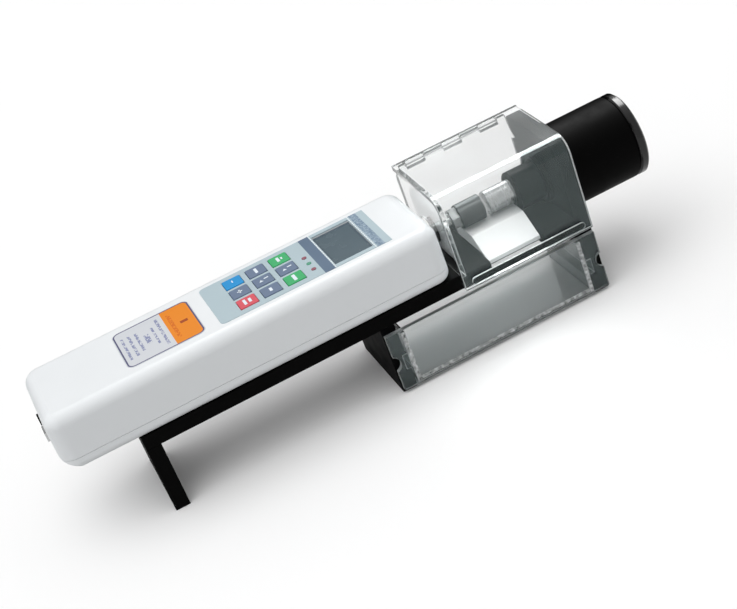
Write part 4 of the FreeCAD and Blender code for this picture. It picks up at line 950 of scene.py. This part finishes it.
@dataclass
class Keypad:
    """Nine keys in three rows, each with a small plain sign in white ink.

    Lengths are in millimetres, and places are on the bench grid.
    """

    first_x: float = 123.8
    pitch_x: float = 14.1
    middle_y: float = 32.0
    pitch_y: float = 13.5
    top_z: float = 84.7
    ink: float = 0.06
    sunk: float = 0.02
    arrow_size: float = 1.4
    ring_radius: float = 2.0
    ring_width: float = 0.5
    ring_segments: int = 28
    arrow_keys: tuple[str, ...] = ("middle_centre", "middle_right")
    power_key: str = "back_left"
    rows: tuple[str, ...] = ("front", "middle", "back")
    columns: tuple[str, ...] = ("left", "centre", "right")
    colours: dict[str, KeyColour] = field(
        default_factory=lambda: {
            "front_left": KeyColour.RED,
            "front_right": KeyColour.GREEN,
            "back_left": KeyColour.BLUE,
            "back_right": KeyColour.GREEN,
        }
    )
    signs: dict[str, tuple[Bar, ...]] = field(
        default_factory=lambda: {
            "front_left": (Bar(-1.4, 0.0, 0.8, 3.0), Bar(1.6, 0.0, 0.8, 2.2)),
            "front_centre": (Bar(0.0, 0.0, 0.8, 1.9),),
            "front_right": (Bar(0.0, 0.0, 0.95, 3.4),),
            "middle_left": (Bar(0.0, 0.2, 0.45, 1.9), Bar(0.0, 0.2, 1.5, 0.45)),
            "middle_centre": (Bar(2.0, 1.0, 1.3, 0.5),),
            "middle_right": (Bar(2.0, 1.0, 1.3, 0.5),),
            "back_left": (Bar(0.0, 0.9, 0.35, 1.3),),
            "back_centre": (Bar(0.0, 0.0, 0.8, 2.9),),
            "back_right": (Bar(-0.6, 0.0, 0.8, 2.6), Bar(1.6, 0.0, 0.5, 1.2)),
        }
    )

    def build(self) -> None:
        """Dress each key and lay its sign on it."""
        for row, row_name in enumerate(self.rows):
            for column, column_name in enumerate(self.columns):
                key = f"{row_name}_{column_name}"
                dress([f"key_{key}"], self.colours.get(key, KeyColour.SLATE).value)
                x = self.first_x + column * self.pitch_x
                self.sign(key, x, self.middle_y + (row - 1) * self.pitch_y)

    def sign(self, key: str, x: float, y: float) -> None:
        """Build one key's sign as thin raised ink.

        Args:
            key: row and column of the key.
            x: its centre along the bench grid, in millimetres.
            y: its centre across the bench grid, in millimetres.
        """
        mesh = bmesh.new()
        for bar in self.signs[key]:
            made = bmesh.ops.create_grid(mesh, x_segments=1, y_segments=1, size=1.0)["verts"]
            bmesh.ops.scale(mesh, vec=(bar.half_x * MM, bar.half_y * MM, 1.0), verts=made)
            self.lay(mesh, made, x + bar.x, y + bar.y)
        if key in self.arrow_keys:
            made = bmesh.ops.create_circle(
                mesh, cap_ends=True, segments=3, radius=self.arrow_size * MM
            )
            self.lay(mesh, made["verts"], x - self.arrow_size, y - self.arrow_size / 2)
        if key == self.power_key:
            self.ring(mesh, x, y)
        raised = bmesh.ops.extrude_face_region(mesh, geom=mesh.faces[:])["geom"]
        tops = [item for item in raised if isinstance(item, bmesh.types.BMVert)]
        bmesh.ops.translate(mesh, vec=(0, 0, (self.ink + self.sunk) * MM), verts=tops)
        bmesh.ops.recalc_face_normals(mesh, faces=mesh.faces[:])
        piece = add_piece(f"key_sign_{key}", mesh, KEY_INK)
        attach(piece, f"key_{key}")

    def lay(
        self, mesh: bmesh.types.BMesh, verts: list[bmesh.types.BMVert], x: float, y: float
    ) -> None:
        """Move a flat shape to its place on the keys' tops, sunk in a little."""
        bmesh.ops.translate(mesh, vec=GRID.at(x, y, self.top_z - self.sunk), verts=verts)

    def ring(self, mesh: bmesh.types.BMesh, x: float, y: float) -> None:
        """Add the open ring around the short bar of the power sign.

        Args:
            mesh: the sign's shape.
            x: the ring's centre along the bench grid, in millimetres.
            y: the ring's centre across the bench grid, in millimetres.
        """
        made = bmesh.ops.create_circle(
            mesh, cap_ends=True, segments=self.ring_segments, radius=self.ring_radius * MM
        )
        middle = made["verts"][0].link_faces[0]
        rim = bmesh.ops.inset_region(mesh, faces=[middle], thickness=self.ring_width * MM)["faces"]
        verts = list({vert for face in [middle, *rim] for vert in face.verts})
        self.lay(mesh, verts, x, y - self.ring_width / 2)
        bmesh.ops.delete(mesh, geom=[middle], context="FACES")


@dataclass
class TestChamber:
    """Clear walls and lid around the jaws, with the white rest between them."""

    copies: tuple[EasedCopy, ...] = (
        EasedCopy("lid", CAST_ACRYLIC, ACRYLIC_EDGE_HIGHLIGHT, plain_from=57.0),
        EasedCopy("lid_finger_strip", CAST_ACRYLIC, ACRYLIC_EDGE_HIGHLIGHT, broad_axis="Y"),
        EasedCopy("chamber_side_wall", CAST_ACRYLIC, ACRYLIC_EDGE_HIGHLIGHT),
        EasedCopy("chamber_rear_wall", CAST_ACRYLIC),
    )

    def build(self) -> None:
        """Dress walls, lid, hinge pin, jaws and rest."""
        for copy in self.copies:
            copy.build()
        dress(["hinge_pin"], TURNED_STEEL)
        dress(["fixed_jaw"], HARD_JAW)
        dress(["pusher"], POLISHED_STEEL)
        dress(["tablet_rest"], WHITE_ACETAL)


@dataclass
class Feed:
    """The hand knob with its screw, and the sleeve that guides the pusher."""

    def build(self) -> None:
        """Dress knob, screw, bushes and sleeve."""
        dress(["knob"], BLACK_ACETAL)
        dress(["knob_cap"], GLOSS_ACETAL)
        dress(["guide_sleeve", "sleeve_ring_nut", "knob_cap_screw"], BLACKENED_STEEL)
        dress(["feed_screw", "guide_key", "knob_pin"], TURNED_STEEL)
        dress(["screw_bush", "screw_collar"], TURNED_BRASS)


@dataclass
class Drawer:
    """The clear drawer that catches the broken pieces.

    Lengths are in millimetres.
    """

    copies: tuple[EasedCopy, ...] = (
        EasedCopy("drawer_front", SHADOW_DEEPENING_ACRYLIC, SAWN_AND_SHADED_EDGE, broad_axis="Y"),
        EasedCopy("drawer_tray", SHADOW_DEEPENING_ACRYLIC, ACRYLIC_EDGE_HIGHLIGHT, plain_from=40.0),
        EasedCopy("drawer_runners", SHADOW_DEEPENING_ACRYLIC, ACRYLIC_EDGE_HIGHLIGHT),
    )
    wall: float = 2.5
    seam_depth: float = 0.3
    seam_inset: float = 0.15
    seam_rise: float = 0.8
    seam_step: float = 1.6
    seam_wander: float = 0.5

    def build(self) -> None:
        """Dress front, tray and runners, and run the cement between front and tray."""
        for copy in self.copies:
            copy.build()
        self.cement()

    def cement(self) -> None:
        """Run the cement seam up both side walls of the tray and along its bottom."""
        low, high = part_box("drawer_tray")
        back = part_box("drawer_front")[1].y - self.seam_inset * MM
        wall = self.wall * MM
        mesh = bmesh.new()
        self.bar(mesh, (low.x, low.z), (low.x + wall, high.z), back)
        self.bar(mesh, (high.x - wall, low.z), (high.x, high.z), back)
        rise = self.seam_rise * MM
        self.bar(mesh, (low.x + wall, low.z + rise), (high.x - wall, low.z + rise + wall), back)
        piece = add_piece("drawer_cement", mesh, SOLVENT_CEMENT)
        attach(piece, "drawer")

    def bar(
        self,
        mesh: bmesh.types.BMesh,
        low: tuple[float, float],
        high: tuple[float, float],
        back: float,
    ) -> None:
        """Add one thin bar of cement with wandering sides.

        Args:
            mesh: the seam's shape.
            low: its lower corner along X and Z, in metres.
            high: its upper corner along X and Z, in metres.
            back: its rear face along Y, in metres.
        """
        width, height = high[0] - low[0], high[1] - low[1]
        steps = (
            max(1, round(width / (self.seam_step * MM))),
            max(1, round(height / (self.seam_step * MM))),
        )
        grid = bmesh.ops.create_grid(mesh, x_segments=steps[0], y_segments=steps[1], size=0.5)["verts"]
        # The grid is one metre wide, so its places are shares of the bar
        for vert in grid:
            share_x, share_z = vert.co.x + 0.5, vert.co.y + 0.5
            place = Vector((low[0] + share_x * width, back, low[1] + share_z * height))
            wander = noise.noise_vector(place / (self.seam_step * MM)) * self.seam_wander * MM
            inward = Vector((0.5 - share_x, 0.0, 0.5 - share_z))
            vert.co = place + Vector((inward.x * abs(wander.x), 0.0, inward.z * abs(wander.z))) * 2
        faces = list({face for vert in grid for face in vert.link_faces})
        raised = bmesh.ops.extrude_face_region(mesh, geom=faces)["geom"]
        fronts = [item for item in raised if isinstance(item, bmesh.types.BMVert)]
        bmesh.ops.translate(mesh, vec=(0, -self.seam_depth * MM, 0), verts=fronts)
        bmesh.ops.recalc_face_normals(mesh, faces=mesh.faces[:])


class Reach(Enum):
    """What a lamp does: it lights surfaces, shows in their gloss, or both."""

    LIGHT = (True, False)
    GLOSS = (False, True)
    BOTH = (True, True)


@dataclass(frozen=True)
class Lamp:
    """One lamp: a wide sun or a soft box, its place, its size and how strongly it shines.

    The size is an angle in degrees for a sun and a width in metres for a box.
    """

    name: str
    kind: str
    place: Vec3
    size: float
    power: float
    reach: Reach

    def hang(self, aim: Vec3) -> None:
        """Hang the lamp and turn it towards a point.

        Clear sheet passes its light on to what a shadow ray reaches, and not a second time.

        Args:
            aim: the point that it shines at.
        """
        light = bpy.data.lights.new(self.name, self.kind)
        light.energy = self.power
        if self.kind == "SUN":
            light.angle = math.radians(self.size)
        else:
            light.shape = "DISK"
            light.size = self.size
        holder = bpy.data.objects.new(self.name, light)
        bpy.context.scene.collection.objects.link(holder)
        holder.visible_diffuse, holder.visible_glossy = self.reach.value
        holder.visible_transmission = False
        holder.location = self.place
        away = Vector(self.place) - Vector(aim)
        holder.rotation_euler = away.to_track_quat("Z", "Y").to_euler()


@dataclass
class Studio:
    """White floor, broad lamps overhead, a weak even sky and the camera at the photo's place.

    Lengths are in metres, but the floor's drop and the sensor are in millimetres and the focal
    length is in pixels of the photo. Angles are in degrees.
    """

    lamps: tuple[Lamp, ...] = (
        Lamp("overhead", "SUN", (-0.45, -0.2, 1.5), 70.0, 1.27, Reach.BOTH),
        Lamp("overhead_wide", "SUN", (-0.3, -0.1, 1.5), 150.0, 1.4, Reach.LIGHT),
        Lamp("bend_box", "AREA", (0.535, 0.82, 1.5), 1.1, 42.0, Reach.GLOSS),
    )
    sky: float = 0.22
    mirrored_sky: float = 0.8
    unscattered: float = 0.5
    floor_half: float = 6.0
    floor_drop: float = 0.2
    flag_place: float = 0.25
    flag_width: float = 1.2
    flag_height: float = 0.2
    aim: Vec3 = (-0.0049, 0.0025, 0.05)
    focal: float = 1664.2
    azimuth: float = 11.123
    elevation: float = 29.511
    roll: float = 2.836
    turn: float = 24.3
    shift: tuple[float, float] = (-0.01131, 0.00743)
    distance: float = 0.9191
    sensor: float = 36.0
    clip: tuple[float, float] = (0.05, 30.0)

    def build(self) -> None:
        """Build floor, sky, lamps and camera."""
        self.floor()
        self.flag()
        self.world()
        for lamp in self.lamps:
            lamp.hang(self.aim)
        self.camera()

    def flag(self) -> None:
        """Stand a black card behind the tester, which only mirrored light meets."""
        mesh = bmesh.new()
        bmesh.ops.create_grid(mesh, x_segments=1, y_segments=1, size=0.5)
        bmesh.ops.scale(mesh, vec=(self.flag_width, self.flag_height, 1.0), verts=mesh.verts[:])
        bmesh.ops.rotate(mesh, matrix=Matrix.Rotation(math.pi / 2, 3, "X"), verts=mesh.verts[:])
        bmesh.ops.translate(
            mesh, vec=(0.0, self.flag_place, self.flag_height / 2), verts=mesh.verts[:]
        )
        card = add_piece("black_flag", mesh, FLAG_CARD)
        card.visible_camera = False
        card.visible_diffuse = False
        card.visible_transmission = False
        card.visible_shadow = False

    def floor(self) -> None:
        """Lay a wide white floor that keeps the tester's shadow."""
        mesh = bmesh.new()
        bmesh.ops.create_grid(mesh, x_segments=1, y_segments=1, size=self.floor_half)
        bmesh.ops.translate(mesh, vec=(0, 0, -self.floor_drop * MM), verts=mesh.verts[:])
        add_piece("studio_floor", mesh, STUDIO_PAPER)

    def world(self) -> None:
        """Light everything weakly from an even sky, which is white to the camera.

        It is white through clear sheet too, where no matt surface has scattered the light yet,
        and nearly white in mirrors.
        """
        world = bpy.data.worlds.new("studio_sky")
        world.use_nodes = True
        sheet = NodeSheet(world.node_tree)
        path = sheet.add("LightPath").outputs
        links = {0: path["Diffuse Depth"], 1: self.unscattered}
        direct = sheet.add("Math", links, operation="LESS_THAN")
        links = {0: path["Is Transmission Ray"], 1: direct}
        through = sheet.add("Math", links, operation="MULTIPLY")
        links = {0: path["Is Camera Ray"], 1: through}
        seen = sheet.add("Math", links, operation="MAXIMUM")
        links = {"Value": path["Is Glossy Ray"], "To Min": self.sky, "To Max": self.mirrored_sky}
        mirrored = sheet.add("MapRange", links)
        level = sheet.add("MapRange", {"Value": seen, "To Min": mirrored, "To Max": 1.0})
        sky = sheet.add("Background", {"Color": WHITE, "Strength": level})
        sheet.add("OutputWorld", {"Surface": sky})
        bpy.context.scene.world = world

    def camera(self) -> None:
        """Place the camera by its azimuth, elevation, roll, offset and distance."""
        azimuth, elevation = math.radians(self.azimuth), math.radians(self.elevation)
        ahead = Vector((
            math.sin(azimuth) * math.cos(elevation),
            math.cos(azimuth) * math.cos(elevation),
            -math.sin(elevation),
        ))
        level = Vector((math.cos(azimuth), -math.sin(azimuth), 0.0))
        rise = level.cross(ahead)
        roll = math.radians(self.roll)
        right = math.cos(roll) * level + math.sin(roll) * rise
        up = -math.sin(roll) * level + math.cos(roll) * rise
        place = Vector(self.aim) - ahead * self.distance - right * self.shift[0] - up * self.shift[1]
        turn = math.radians(self.turn)
        right, up = (
            right * math.cos(turn) - up * math.sin(turn),
            right * math.sin(turn) + up * math.cos(turn),
        )
        data = bpy.data.cameras.new("photo_camera")
        data.sensor_fit = "HORIZONTAL"
        data.sensor_width = self.sensor
        data.lens = self.focal / PHOTO_WIDTH * self.sensor
        data.clip_start, data.clip_end = self.clip
        camera = bpy.data.objects.new("photo_camera", data)
        bpy.context.scene.collection.objects.link(camera)
        camera.matrix_world = Matrix((
            (right.x, up.x, -ahead.x, place.x),
            (right.y, up.y, -ahead.y, place.y),
            (right.z, up.z, -ahead.z, place.z),
            (0, 0, 0, 1),
        ))
        bpy.context.scene.camera = camera


def main() -> None:
    """Build every sub-assembly in order, then the studio."""
    logging.basicConfig(level=logging.INFO, format="%(name)s %(message)s")
    bpy.context.scene.view_settings.view_transform = "Standard"
    for part in (Bracket(), ForceGauge(), Keypad(), TestChamber(), Feed(), Drawer(), Studio()):
        part.build()
        log.info("%s built", type(part).__name__)


if __name__ == "__main__":
    main()
